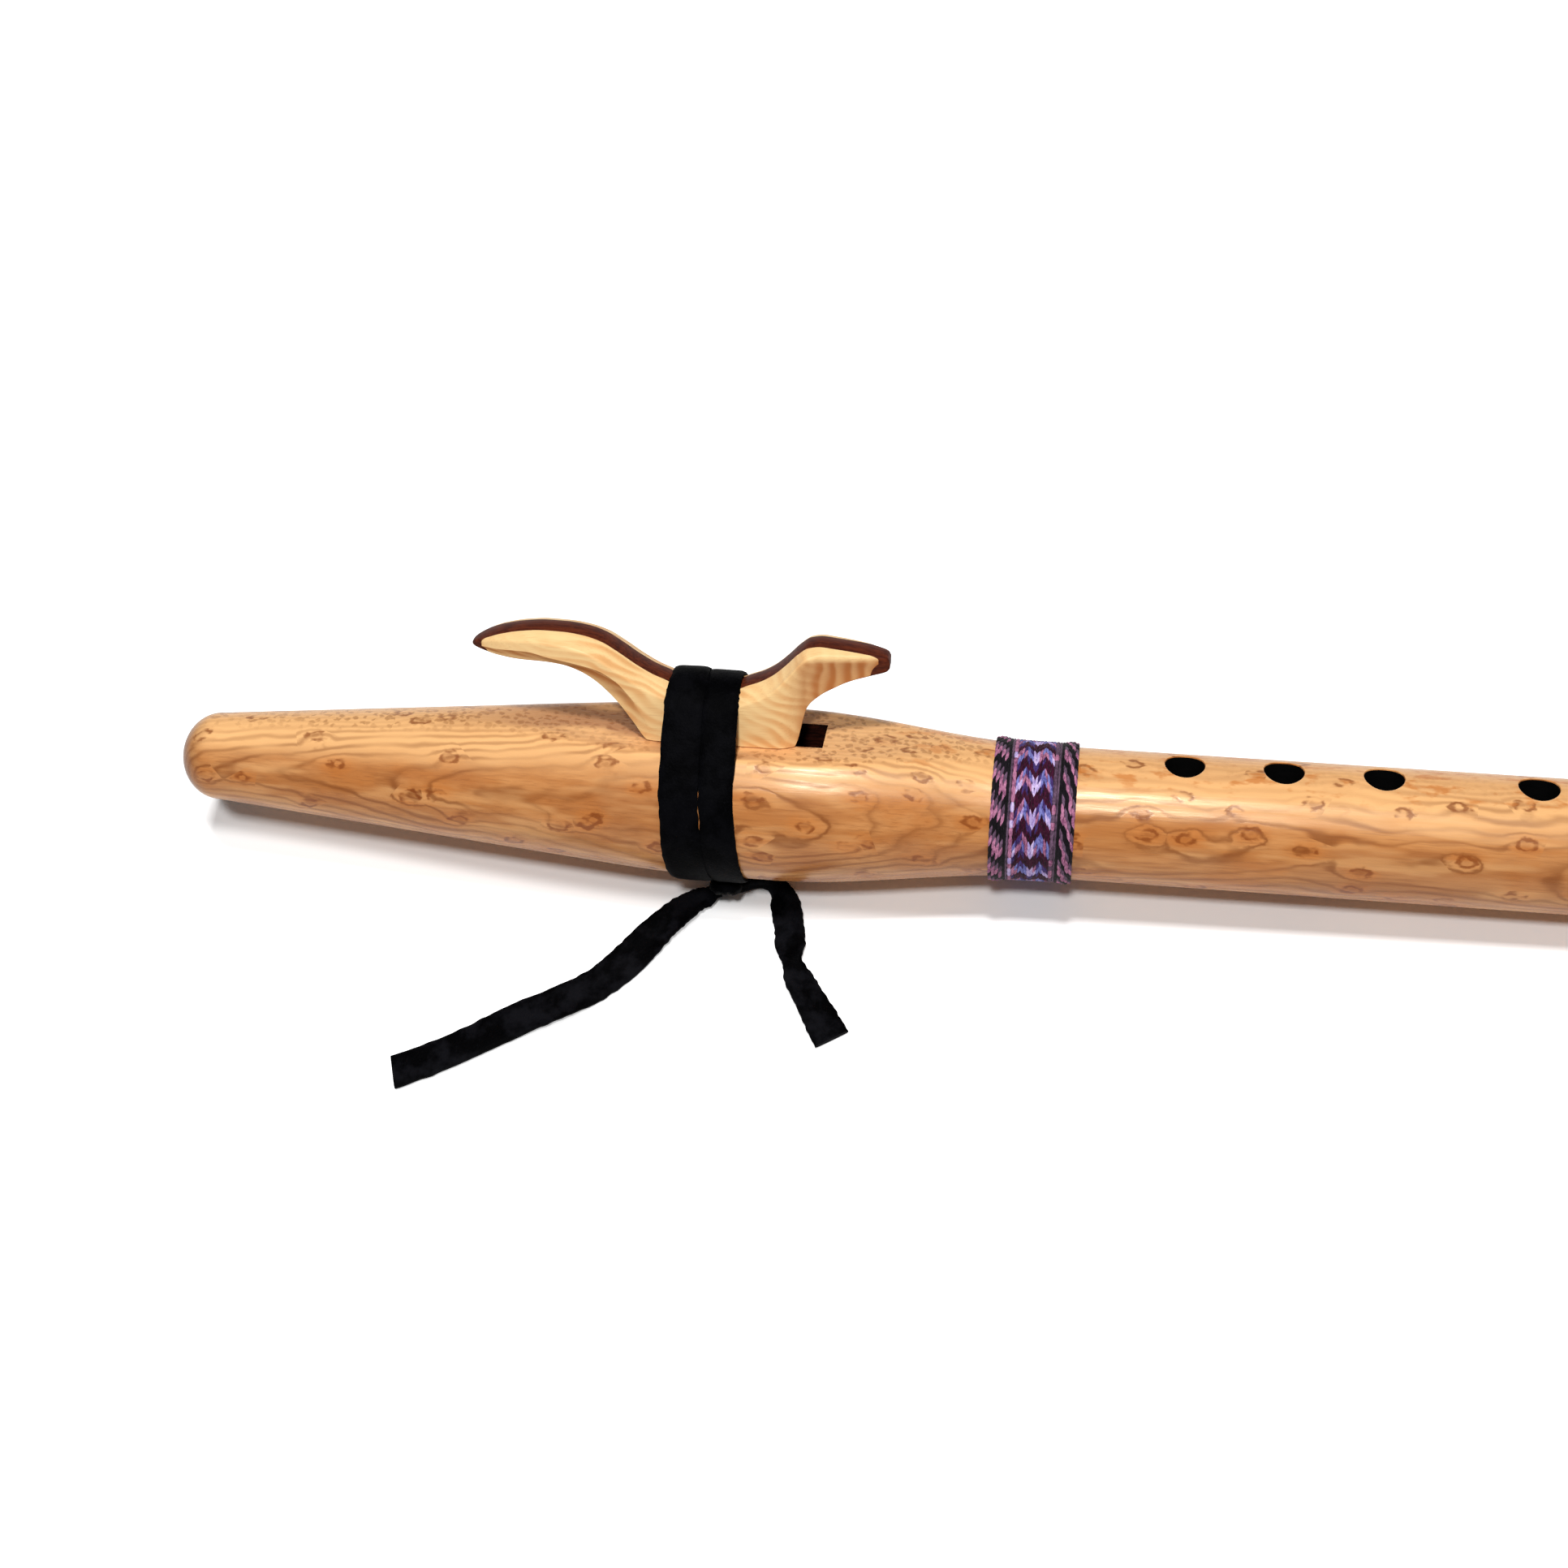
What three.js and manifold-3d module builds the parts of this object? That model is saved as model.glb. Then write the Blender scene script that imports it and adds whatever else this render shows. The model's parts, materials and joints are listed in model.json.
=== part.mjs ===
import * as THREE from 'three';
import { mergeVertices } from 'three/addons/utils/BufferGeometryUtils.js';
import Module from 'manifold-3d';

const wasm = await Module();
wasm.setup();

// A wooden duct flute of the Native American kind, lying on a table with its block leaning back.
// All sizes are millimetres. In the flute's own frame X runs along the bore from the mouth end to
// the foot, and Z points to the finger holes. The finished group stands on z = 0 with Z up.

const clearance = 0.3;
const overrun = 2;

const barrel = {
  length: 440,
  domeLength: 9,
  mouthRadius: 9.7,
  taperLength: 120.8,
  taperBlend: 12,
  nestRadius: 20.45,
  nestEnd: 146,
  pipeStart: 206,
  pipeRadius: 15.3,
  footChamfer: 0.8,
  nestHeight: 16.4,
};

const bore = {
  blowRadius: 4,
  blowLength: 20,
  chamberStart: 62,
  chamberRadius: 10,
};

const plug = {
  start: 128,
  length: 18,
};

const voice = {
  exitStart: 119,
  exitLength: 7,
  flueWidth: 10.4,
  flueDepth: 0.8,
  windowStart: 149.6,
  windowLength: 6.5,
};

const fingerHoles = {
  first: 238.2,
  spacing: 22.1,
  handGap: 33.7,
  radius: 4.45,
  perHand: 3,
};

const block = {
  tailTip: 74.5,
  length: 96.4,
  height: 24.6,
  thickness: 14.6,
  coreThickness: 5.2,
  crownRadius: 9.9,
};

const lace = {
  width: 8.5,
  wrappedWidth: 8,
  thickness: 1.5,
  loopPitch: 8.6,
  crossingLift: 2,
  footprintDepth: 0.5,
  farLoop: 135.6,
  frontSlant: 2.3,
  knotPlace: 131.8,
  knotLength: 9.2,
  knotWidth: 10,
  knotThickness: 3.3,
};

const band = {
  start: 195.3,
  width: 19,
  thickness: 1.3,
};

const leanBack = THREE.MathUtils.degToRad(28.5);
const knotAngle = THREE.MathUtils.degToRad(163.5);
const windingSweep = THREE.MathUtils.degToRad(707);
const loops = 2;
const roundSides = 40;
const holeSides = 20;

const materials = {
  maple: new THREE.MeshStandardMaterial({ color: 0xd2985c, roughness: 0.42, metalness: 0 }),
  paleWood: new THREE.MeshStandardMaterial({ color: 0xf0c890, roughness: 0.5, metalness: 0 }),
  darkWood: new THREE.MeshStandardMaterial({ color: 0x5a2a1c, roughness: 0.5, metalness: 0 }),
  leather: new THREE.MeshStandardMaterial({ color: 0x101012, roughness: 0.7, metalness: 0 }),
  weave: new THREE.MeshStandardMaterial({ color: 0x8a6aa8, roughness: 0.85, metalness: 0 }),
};

// Solids

function solidOf(geometry) {
  geometry.deleteAttribute('normal');
  geometry.deleteAttribute('uv');
  const merged = mergeVertices(geometry);
  const index = merged.index.array;
  const triangles = [];
  for (let i = 0; i < index.length; i += 3) {
    const [a, b, c] = [index[i], index[i + 1], index[i + 2]];
    if (a !== b && b !== c && c !== a) triangles.push(a, b, c);
  }
  return new wasm.Manifold(new wasm.Mesh({
    numProp: 3,
    vertProperties: new Float32Array(merged.attributes.position.array),
    triVerts: new Uint32Array(triangles),
  }));
}

function geometryOf(solid) {
  const mesh = solid.getMesh();
  const geometry = new THREE.BufferGeometry();
  geometry.setAttribute('position', new THREE.BufferAttribute(mesh.vertProperties, 3));
  geometry.setIndex(new THREE.BufferAttribute(mesh.triVerts, 1));
  geometry.computeVertexNormals();
  return geometry;
}

// A box given by its low and high corners.
function boxBetween(low, high) {
  const size = new THREE.Vector3().subVectors(high, low);
  const centre = new THREE.Vector3().addVectors(low, high).multiplyScalar(1 / 2);
  return new THREE.BoxGeometry(size.x, size.y, size.z).translate(centre.x, centre.y, centre.z);
}

// A profile of (radius, place along the flute) turned about the flute's axis.
function turned(profile) {
  return new THREE.LatheGeometry(profile, roundSides).rotateZ(-Math.PI / 2);
}

// A closed skin over sections that all have the same number of points.
function loft(sections) {
  const sides = sections[0].length;
  const positions = sections.flat().flatMap((point) => point.toArray());
  const index = [];
  for (let k = 0; k < sections.length - 1; k++) {
    for (let i = 0; i < sides; i++) {
      const a = k * sides + i;
      const b = k * sides + (i + 1) % sides;
      index.push(a, b, a + sides, b, b + sides, a + sides);
    }
  }
  const last = (sections.length - 1) * sides;
  for (let i = 1; i < sides - 1; i++) {
    index.push(0, i + 1, i);
    index.push(last, last + i, last + i + 1);
  }
  const geometry = new THREE.BufferGeometry();
  geometry.setAttribute('position', new THREE.Float32BufferAttribute(positions, 3));
  geometry.setIndex(index);
  return geometry;
}

// Barrel

function barrelProfile() {
  const slope = (barrel.nestRadius - barrel.mouthRadius) / barrel.taperLength;
  const taperRadius = (place) => barrel.mouthRadius + slope * place;
  const blendStart = barrel.taperLength - barrel.taperBlend;
  const blendEnd = barrel.taperLength + barrel.taperBlend;
  const waist = barrel.pipeStart - barrel.nestEnd;
  const path = new THREE.Path();
  path.absellipse(0, barrel.domeLength, taperRadius(barrel.domeLength), barrel.domeLength, -Math.PI / 2, 0);
  path.lineTo(taperRadius(blendStart), blendStart);
  path.quadraticCurveTo(barrel.nestRadius, barrel.taperLength, barrel.nestRadius, blendEnd);
  path.lineTo(barrel.nestRadius, barrel.nestEnd);
  path.bezierCurveTo(
    barrel.nestRadius, barrel.nestEnd + waist / 3,
    barrel.pipeRadius, barrel.pipeStart - waist / 3,
    barrel.pipeRadius, barrel.pipeStart,
  );
  path.lineTo(barrel.pipeRadius, barrel.length - barrel.footChamfer);
  path.lineTo(barrel.pipeRadius - barrel.footChamfer, barrel.length);
  path.lineTo(0, barrel.length);
  return path.getPoints(7);
}

const outerProfile = barrelProfile();

function barrelRadiusAt(place) {
  const next = outerProfile.findIndex((point) => point.y >= place);
  const [before, after] = [outerProfile[next - 1], outerProfile[next]];
  const share = (place - before.y) / (after.y - before.y);
  return THREE.MathUtils.lerp(before.x, after.x, share);
}

function boreProfile() {
  return [
    new THREE.Vector2(0, -overrun),
    new THREE.Vector2(bore.blowRadius, -overrun),
    new THREE.Vector2(bore.blowRadius, bore.blowLength),
    new THREE.Vector2(bore.chamberRadius, bore.chamberStart),
    new THREE.Vector2(bore.chamberRadius, barrel.length + overrun),
    new THREE.Vector2(0, barrel.length + overrun),
  ];
}

// A slot of the flue's width, cut downwards through the nest's flat face.
function nestSlot(start, end, floor) {
  const low = new THREE.Vector3(start, -voice.flueWidth / 2, floor);
  const high = new THREE.Vector3(end, voice.flueWidth / 2, barrel.nestRadius + overrun);
  return solidOf(boxBetween(low, high));
}

function fingerHolePlaces() {
  const secondHand = fingerHoles.first + (fingerHoles.perHand - 1) * fingerHoles.spacing + fingerHoles.handGap;
  const places = [];
  for (const start of [fingerHoles.first, secondHand]) {
    for (let i = 0; i < fingerHoles.perHand; i++) places.push(start + i * fingerHoles.spacing);
  }
  return places;
}

function fingerHole(place) {
  const depth = barrel.pipeRadius + overrun;
  const drill = new THREE.CylinderGeometry(fingerHoles.radius, fingerHoles.radius, depth, holeSides);
  return solidOf(drill.rotateX(Math.PI / 2).translate(place, 0, depth / 2));
}

function barrelSolid() {
  const aboveNest = boxBetween(
    new THREE.Vector3(-overrun, -barrel.nestRadius - overrun, barrel.nestHeight),
    new THREE.Vector3(barrel.length + overrun, barrel.nestRadius + overrun, barrel.nestRadius + overrun),
  );
  const windowEnd = voice.windowStart + voice.windowLength;
  let solid = solidOf(turned(outerProfile));
  solid = solid.subtract(solidOf(turned(boreProfile())));
  solid = solid.subtract(solidOf(aboveNest));
  solid = solid.subtract(nestSlot(voice.exitStart, voice.windowStart + clearance, barrel.nestHeight - voice.flueDepth));
  solid = solid.subtract(nestSlot(voice.exitStart, voice.exitStart + voice.exitLength, 0));
  solid = solid.subtract(nestSlot(voice.windowStart, windowEnd, 0));
  for (const place of fingerHolePlaces()) solid = solid.subtract(fingerHole(place));
  return solid;
}

// The barrel is two routed halves, glued on the plane through the axis.
function barrelHalf(solid, side) {
  const reach = barrel.nestRadius + overrun;
  const near = side * clearance / 2;
  const far = side * reach;
  const half = boxBetween(
    new THREE.Vector3(-overrun, -reach, Math.min(near, far)),
    new THREE.Vector3(barrel.length + overrun, reach, Math.max(near, far)),
  );
  return geometryOf(solid.intersect(solidOf(half)));
}

function plugGeometry() {
  const radius = bore.chamberRadius - clearance;
  const body = new THREE.CylinderGeometry(radius, radius, plug.length, roundSides);
  return body.rotateZ(-Math.PI / 2).translate(plug.start + plug.length / 2, 0, 0);
}

function bandGeometry() {
  const steps = 4;
  const inner = [];
  const outer = [];
  for (let i = 0; i <= steps; i++) {
    const place = band.start + band.width * i / steps;
    const radius = barrelRadiusAt(place) + clearance;
    inner.push(new THREE.Vector2(radius, place));
    outer.push(new THREE.Vector2(radius + band.thickness, place));
  }
  const ring = [...outer, ...inner.reverse()];
  return turned([...ring, ring[0]]);
}

// Block

// The lace bears on the saddle between the tail and the beak.
const saddleStartShare = 0.476;
const saddleEndShare = 0.659;
const saddleCrestShare = 0.560;

// Rows run from the tail's tip to the beak's tip: place along the block, crest and belly as
// shares of its height, and half width as a share of its half thickness.
const blockShares = [
  [0.000, 0.800, 0.776, 0.10],
  [0.016, 0.850, 0.768, 0.26],
  [0.043, 0.907, 0.748, 0.45],
  [0.078, 0.951, 0.722, 0.62],
  [0.124, 0.980, 0.697, 0.75],
  [0.176, 0.992, 0.677, 0.83],
  [0.228, 0.984, 0.638, 0.90],
  [0.275, 0.947, 0.561, 0.95],
  [0.316, 0.878, 0.451, 0.98],
  [0.358, 0.785, 0.297, 1.00],
  [0.399, 0.691, 0.114, 1.00],
  [0.426, 0.638, 0.000, 1.00],
  [saddleStartShare, saddleCrestShare, 0.000, 1.00],
  [0.571, 0.552, 0.000, 1.00],
  [saddleEndShare, saddleCrestShare, 0.000, 1.00],
  [0.695, 0.610, 0.000, 1.00],
  [0.726, 0.687, 0.000, 1.00],
  [0.757, 0.793, 0.000, 1.00],
  [0.780, 0.886, 0.000, 1.00],
  [0.808, 0.967, 0.358, 1.00],
  [0.829, 0.992, 0.476, 0.96],
  [0.871, 0.996, 0.614, 0.86],
  [0.908, 0.980, 0.691, 0.77],
  [0.944, 0.959, 0.728, 0.66],
  [0.976, 0.935, 0.744, 0.50],
  [0.994, 0.890, 0.756, 0.30],
  [1.000, 0.850, 0.793, 0.14],
];

// The most of a section's height that its crown may take.
const crownShare = 0.45;

// How far a crowned face has dropped at a distance from the block's middle plane.
function crownDrop(y) {
  return block.crownRadius - Math.sqrt(block.crownRadius ** 2 - y ** 2);
}

function blockSection([alongShare, crestShare, bellyShare, widthShare]) {
  const x = block.tailTip + block.length * alongShare;
  const seat = barrel.nestHeight + clearance;
  const crest = seat + block.height * crestShare;
  const belly = seat + block.height * bellyShare;
  const halfWidth = block.thickness / 2 * widthShare;
  const steps = 8;
  const top = [];
  const bottom = [];
  for (let i = 0; i <= steps; i++) {
    const y = THREE.MathUtils.lerp(halfWidth, -halfWidth, i / steps);
    const drop = Math.min(crownDrop(y), (crest - belly) * crownShare);
    top.push(new THREE.Vector3(x, y, crest - drop));
    bottom.push(new THREE.Vector3(x, -y, bellyShare > 0 ? belly + drop : belly));
  }
  return [...top, ...bottom];
}

function blockLamina(solid, from, to) {
  const reach = block.height + overrun;
  const seat = barrel.nestHeight;
  const slab = boxBetween(
    new THREE.Vector3(block.tailTip - overrun, from, seat),
    new THREE.Vector3(block.tailTip + block.length + overrun, to, seat + reach),
  );
  return geometryOf(solid.intersect(solidOf(slab)));
}

// Lace

// The wrap follows the hull of two circles, the nest below and the block's crown above. The angle
// is 0 at the crown and grows towards the front, where -Y is. Both circles share their normals.
const saddleHeight = barrel.nestHeight + clearance + block.height * saddleCrestShare;
const crownCentre = saddleHeight - block.crownRadius;
const hullTilt = Math.asin((barrel.nestRadius - block.crownRadius) / crownCentre);
const tangentAngle = Math.PI / 2 - hullTilt;
const barrelSteps = 15;
const crownSteps = 6;
const barrelStep = (2 * Math.PI - 2 * tangentAngle) / barrelSteps;
const crownStep = 2 * tangentAngle / crownSteps;
const wrapRadius = (barrel.nestRadius + clearance) / Math.cos(barrelStep / 2);
const crownWrapRadius = (block.crownRadius + clearance) / Math.cos(crownStep / 2);

function hullPoint(angle, onCrown, height) {
  const radius = (onCrown ? crownWrapRadius : wrapRadius) + height;
  const centre = onCrown ? crownCentre : 0;
  return new THREE.Vector3(0, -radius * Math.sin(angle), centre + radius * Math.cos(angle));
}

// The stations of the loops, from the knot up the front and round.
function windingStations() {
  const endAngle = knotAngle - windingSweep;
  const stations = [{ angle: knotAngle, onCrown: false }];
  for (let loop = 0; loop < loops; loop++) {
    const turn = -2 * Math.PI * loop;
    const firstStep = loop === 0 ? Math.ceil((2 * Math.PI - tangentAngle - knotAngle) / barrelStep) : 1;
    for (let i = firstStep; i <= barrelSteps; i++) {
      const angle = 2 * Math.PI - tangentAngle - i * barrelStep + turn;
      stations.push({ angle, onCrown: false });
    }
    for (let i = 0; i <= crownSteps; i++) {
      stations.push({ angle: tangentAngle - i * crownStep + turn, onCrown: true });
    }
    stations.push({ angle: -tangentAngle + turn, onCrown: false });
  }
  const lastTurn = -tangentAngle - 2 * Math.PI * (loops - 1);
  for (let angle = lastTurn - barrelStep; angle > endAngle; angle -= barrelStep) {
    stations.push({ angle, onCrown: false });
  }
  stations.push({ angle: endAngle, onCrown: false });
  return stations;
}

// Where the lace has got to along the flute, in slants and pitches, after so many turns.
const windingShares = [
  { turns: 0, slants: 0, pitches: 0 },
  { turns: 0.45, slants: 1, pitches: 0 },
  { turns: 0.70, slants: 1, pitches: 0 },
  { turns: 1.00, slants: 0, pitches: 1 },
  { turns: 1.45, slants: 1, pitches: 1 },
  { turns: 1.70, slants: 1, pitches: 1 },
  { turns: 2.00, slants: 0.5, pitches: 0.4 },
];

function windingPlaceAt(turns) {
  const next = Math.max(1, windingShares.findIndex((row) => row.turns >= turns));
  const [before, after] = [windingShares[next - 1], windingShares[next]];
  const share = THREE.MathUtils.smoothstep(turns, before.turns, after.turns);
  const slants = THREE.MathUtils.lerp(before.slants, after.slants, share);
  const pitches = THREE.MathUtils.lerp(before.pitches, after.pitches, share);
  return lace.farLoop - lace.frontSlant * slants - lace.loopPitch * pitches;
}

// The lace climbs over its first loop between these turns.
const climbStartShare = 1.55;
const climbEndShare = 1.70;

// Six-sided flat section of the wrapped lace at one station.
function windingSection({ angle, onCrown }) {
  const turns = (knotAngle - angle) / (2 * Math.PI);
  const lift = lace.crossingLift * THREE.MathUtils.smoothstep(turns, climbStartShare, climbEndShare);
  const place = windingPlaceAt(turns);
  const half = lace.wrappedWidth / 2;
  const shoulder = half - lace.thickness / 2;
  const corners = [
    [-half, lace.thickness / 2],
    [-shoulder, lace.thickness],
    [shoulder, lace.thickness],
    [half, lace.thickness / 2],
    [shoulder, 0],
    [-shoulder, 0],
  ];
  return corners.map(([aside, height]) => {
    const point = hullPoint(angle, onCrown, height + lift);
    point.x = place + aside;
    return point;
  });
}

// The least distance between points of stations that are most of a turn apart.
function leastGap(sections) {
  let least = Infinity;
  for (let a = 0; a < sections.length; a++) {
    for (let b = a + barrelSteps; b < sections.length; b++) {
      for (const p of sections[a]) {
        for (const q of sections[b]) least = Math.min(least, p.distanceTo(q));
      }
    }
  }
  return least;
}

// The flute lies on the lace where it crosses itself, and on the foot's rim.
const crossingRadius = wrapRadius + lace.thickness + lace.crossingLift;
const contactRadius = crossingRadius - lace.footprintDepth;
const footRim = barrel.length - barrel.footChamfer;
const nose = Math.atan2(contactRadius - barrel.pipeRadius, footRim - lace.knotPlace);

const flute = new THREE.Group();
flute.rotation.set(-leanBack, nose, 0, 'YXZ');
flute.position.z = footRim * Math.sin(nose) + barrel.pipeRadius * Math.cos(nose);
flute.updateMatrix();

function belowTable() {
  const slab = boxBetween(
    new THREE.Vector3(-barrel.length, -barrel.length, -barrel.nestRadius),
    new THREE.Vector3(barrel.length, barrel.length, 0),
  );
  return slab.applyMatrix4(flute.matrix.clone().invert());
}

function windingGeometry() {
  const sections = windingStations().map(windingSection);
  console.log(`lace winding: least gap to itself ${leastGap(sections).toFixed(2)} mm`);
  return geometryOf(solidOf(loft(sections)).subtract(solidOf(belowTable())));
}

function knotGeometry() {
  const knot = new THREE.SphereGeometry(1, 16, 10);
  knot.scale(lace.knotLength / 2, lace.knotWidth / 2, lace.knotThickness / 2);
  const height = wrapRadius + lace.thickness + clearance + lace.knotThickness / 2;
  knot.translate(0, 0, height).rotateX(knotAngle);
  return geometryOf(solidOf(knot.translate(lace.knotPlace, 0, 0)));
}

// A free end of the lace, on the table.
function tailGeometry(points) {
  const route = new THREE.CatmullRomCurve3(points.map((point) => new THREE.Vector3(...point)));
  const [flat, edge] = [lace.thickness / 2, lace.width / 2];
  const shoulder = edge - flat;
  const section = new THREE.Shape();
  section.moveTo(-flat / 2, -edge);
  section.lineTo(flat / 2, -edge);
  section.lineTo(flat, -shoulder);
  section.lineTo(flat, shoulder);
  section.lineTo(flat / 2, edge);
  section.lineTo(-flat / 2, edge);
  section.lineTo(-flat, shoulder);
  section.lineTo(-flat, -shoulder);
  const steps = Math.round(route.getLength() / lace.width) * 2;
  return new THREE.ExtrudeGeometry(section, { steps, extrudePath: route, bevelEnabled: false });
}

const longTail = [
  [130.9, -16.6, 2.0],
  [128.6, -17.0, 1.8],
  [126.1, -18.0, 1.4],
  [123.4, -19.8, 1.1],
  [120.6, -22.4, 1.1],
  [117.6, -25.7, 1.1],
  [114.8, -29.3, 1.1],
  [111.8, -33.4, 1.1],
  [108.5, -37.5, 1.1],
  [104.6, -41.4, 1.1],
  [99.9, -45.0, 1.1],
  [94.4, -48.3, 1.1],
  [88.2, -51.5, 1.1],
  [81.8, -55.2, 1.1],
  [75.2, -59.4, 1.1],
  [68.0, -63.5, 1.1],
  [59.6, -67.6, 1.1],
];

const shortTail = [
  [133.4, -17.4, 2.0],
  [136.2, -16.7, 1.8],
  [139.0, -15.8, 1.4],
  [141.7, -15.2, 1.1],
  [144.3, -16.0, 1.1],
  [146.3, -18.3, 1.1],
  [147.6, -21.5, 1.1],
  [148.4, -24.9, 1.1],
  [148.9, -28.4, 1.1],
  [149.5, -31.8, 1.1],
  [150.8, -35.1, 1.1],
  [152.6, -38.2, 1.1],
  [154.7, -41.4, 1.1],
  [156.8, -44.7, 1.1],
  [159.0, -48.2, 1.1],
  [161.3, -51.8, 1.1],
];

// Assembly

function part(name, geometry, material) {
  const mesh = new THREE.Mesh(geometry, material.clone());
  mesh.name = name;
  return mesh;
}

const wood = barrelSolid();
const blockSolid = solidOf(loft(blockShares.map(blockSection)));
const coreFace = block.coreThickness / 2;
const blockFace = block.thickness / 2 + overrun;

flute.add(
  part('barrel_upper_half', barrelHalf(wood, 1), materials.maple),
  part('barrel_lower_half', barrelHalf(wood, -1), materials.maple),
  part('chamber_plug', plugGeometry(), materials.maple),
  part('block_front_lamina', blockLamina(blockSolid, -blockFace, -coreFace - clearance), materials.paleWood),
  part('block_core_lamina', blockLamina(blockSolid, -coreFace, coreFace), materials.darkWood),
  part('block_rear_lamina', blockLamina(blockSolid, coreFace + clearance, blockFace), materials.paleWood),
  part('lace_winding', windingGeometry(), materials.leather),
  part('lace_knot', knotGeometry(), materials.leather),
  part('woven_band', bandGeometry(), materials.weave),
);

// The origin is below the middle of everything but the loose lace ends.
const object = new THREE.Group();
object.add(flute);
object.updateMatrixWorld(true);
const centre = new THREE.Box3().setFromObject(flute, true).getCenter(new THREE.Vector3());
object.add(
  part('lace_tail_long', tailGeometry(longTail), materials.leather),
  part('lace_tail_short', tailGeometry(shortTail), materials.leather),
);
object.position.set(-centre.x, -centre.y, 0);

export default object;
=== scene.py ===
import json
import math

import bmesh
import bpy
from mathutils import Matrix, Vector, noise


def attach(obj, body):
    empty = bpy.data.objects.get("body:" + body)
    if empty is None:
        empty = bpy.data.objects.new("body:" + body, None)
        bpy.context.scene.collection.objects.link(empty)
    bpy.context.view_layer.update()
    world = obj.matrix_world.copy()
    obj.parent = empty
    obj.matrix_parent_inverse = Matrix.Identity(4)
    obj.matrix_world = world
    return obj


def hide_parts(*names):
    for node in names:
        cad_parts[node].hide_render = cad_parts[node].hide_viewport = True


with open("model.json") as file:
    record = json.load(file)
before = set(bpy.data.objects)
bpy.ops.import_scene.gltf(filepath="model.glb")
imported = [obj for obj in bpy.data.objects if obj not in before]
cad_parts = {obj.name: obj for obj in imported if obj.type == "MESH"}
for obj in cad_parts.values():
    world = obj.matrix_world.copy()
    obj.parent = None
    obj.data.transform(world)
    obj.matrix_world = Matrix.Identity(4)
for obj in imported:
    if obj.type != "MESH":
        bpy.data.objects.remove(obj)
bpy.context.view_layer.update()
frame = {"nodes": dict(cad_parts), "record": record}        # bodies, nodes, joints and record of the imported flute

mm = 0.001
spare = 2  # millimetres that a cutter reaches past what it cuts

# The flute's own frame is in millimetres, X from the mouth to the foot and Z to the finger holes.
# The two mounts on the flute give its directions, and the one on the nest its place.
mounts = {mount["name"]: mount for mount in frame["record"]["mounts"]}
nestMark = {"along": 166, "aside": 6, "height": 16.4}
alongAxis = Vector(mounts["foot_end"]["axis"]).normalized()
upAxis = Vector(mounts["nest_face"]["axis"]).normalized()
fluteTurn = Matrix((alongAxis, upAxis.cross(alongAxis), upAxis)).transposed()
mouthPoint = Vector(mounts["nest_face"]["pos_m"]) - fluteTurn @ Vector(nestMark.values()) * mm
fluteSpace = Matrix.Translation(mouthPoint) @ fluteTurn.to_4x4() @ Matrix.Scale(mm, 4)
tableSpace = Matrix.Translation((mouthPoint.x, mouthPoint.y, 0)) @ Matrix.Scale(mm, 4)


# Meshes

def loft(rings, capped=True):
    count = len(rings[0])
    points = [point for ring in rings for point in ring]
    faces = []
    for k in range(len(rings) - 1):
        for i in range(count):
            a, b = k * count + i, k * count + (i + 1) % count
            faces.append((a, b, b + count, a + count))
    if capped:
        last = len(points) - count
        faces.append(tuple(range(count))[::-1])
        faces.append(tuple(range(last, last + count)))
    return points, faces


def boxSkin(low, high):
    (x0, y0, z0), (x1, y1, z1) = low, high
    return loft([[(x, y0, z0), (x, y1, z0), (x, y1, z1), (x, y0, z1)] for x in (x0, x1)])


def joined(skins):
    points, faces = [], []
    for skinPoints, skinFaces in skins:
        start = len(points)
        points += skinPoints
        faces += [tuple(start + i for i in face) for face in skinFaces]
    return points, faces


def addPiece(name, skin, finishes, space=fluteSpace):
    points, faces = skin
    mesh = bpy.data.meshes.new(name)
    mesh.from_pydata([space @ Vector(point) for point in points], [], faces)
    work = bmesh.new()
    work.from_mesh(mesh)
    bmesh.ops.recalc_face_normals(work, faces=work.faces)
    work.to_mesh(mesh)
    work.free()
    for finish in finishes:
        mesh.materials.append(finish)
    piece = bpy.data.objects.new(name, mesh)
    bpy.context.scene.collection.objects.link(piece)
    return piece


def smooth(piece, sharpFrom=40):
    piece.data.shade_smooth()
    piece.data.set_sharp_from_angle(angle=math.radians(sharpFrom))


def cut(piece, skin, operation="DIFFERENCE", space=fluteSpace):
    tool = addPiece("cutter", skin, [], space)
    modifier = piece.modifiers.new("cut", "BOOLEAN")
    modifier.operation = operation
    modifier.solver = "MANIFOLD"
    modifier.object = tool
    graph = bpy.context.evaluated_depsgraph_get()
    made = bpy.data.meshes.new_from_object(piece.evaluated_get(graph))
    piece.modifiers.clear()
    piece.data = made
    bpy.data.objects.remove(tool)


def dress(piece, finishes):
    piece.data.materials.clear()
    for finish in finishes:
        piece.data.materials.append(finish)


def hand(piece, body, slot, *nodes):
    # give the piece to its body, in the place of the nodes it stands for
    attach(piece, body)
    if nodes:
        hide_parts(*nodes)
    return piece


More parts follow.
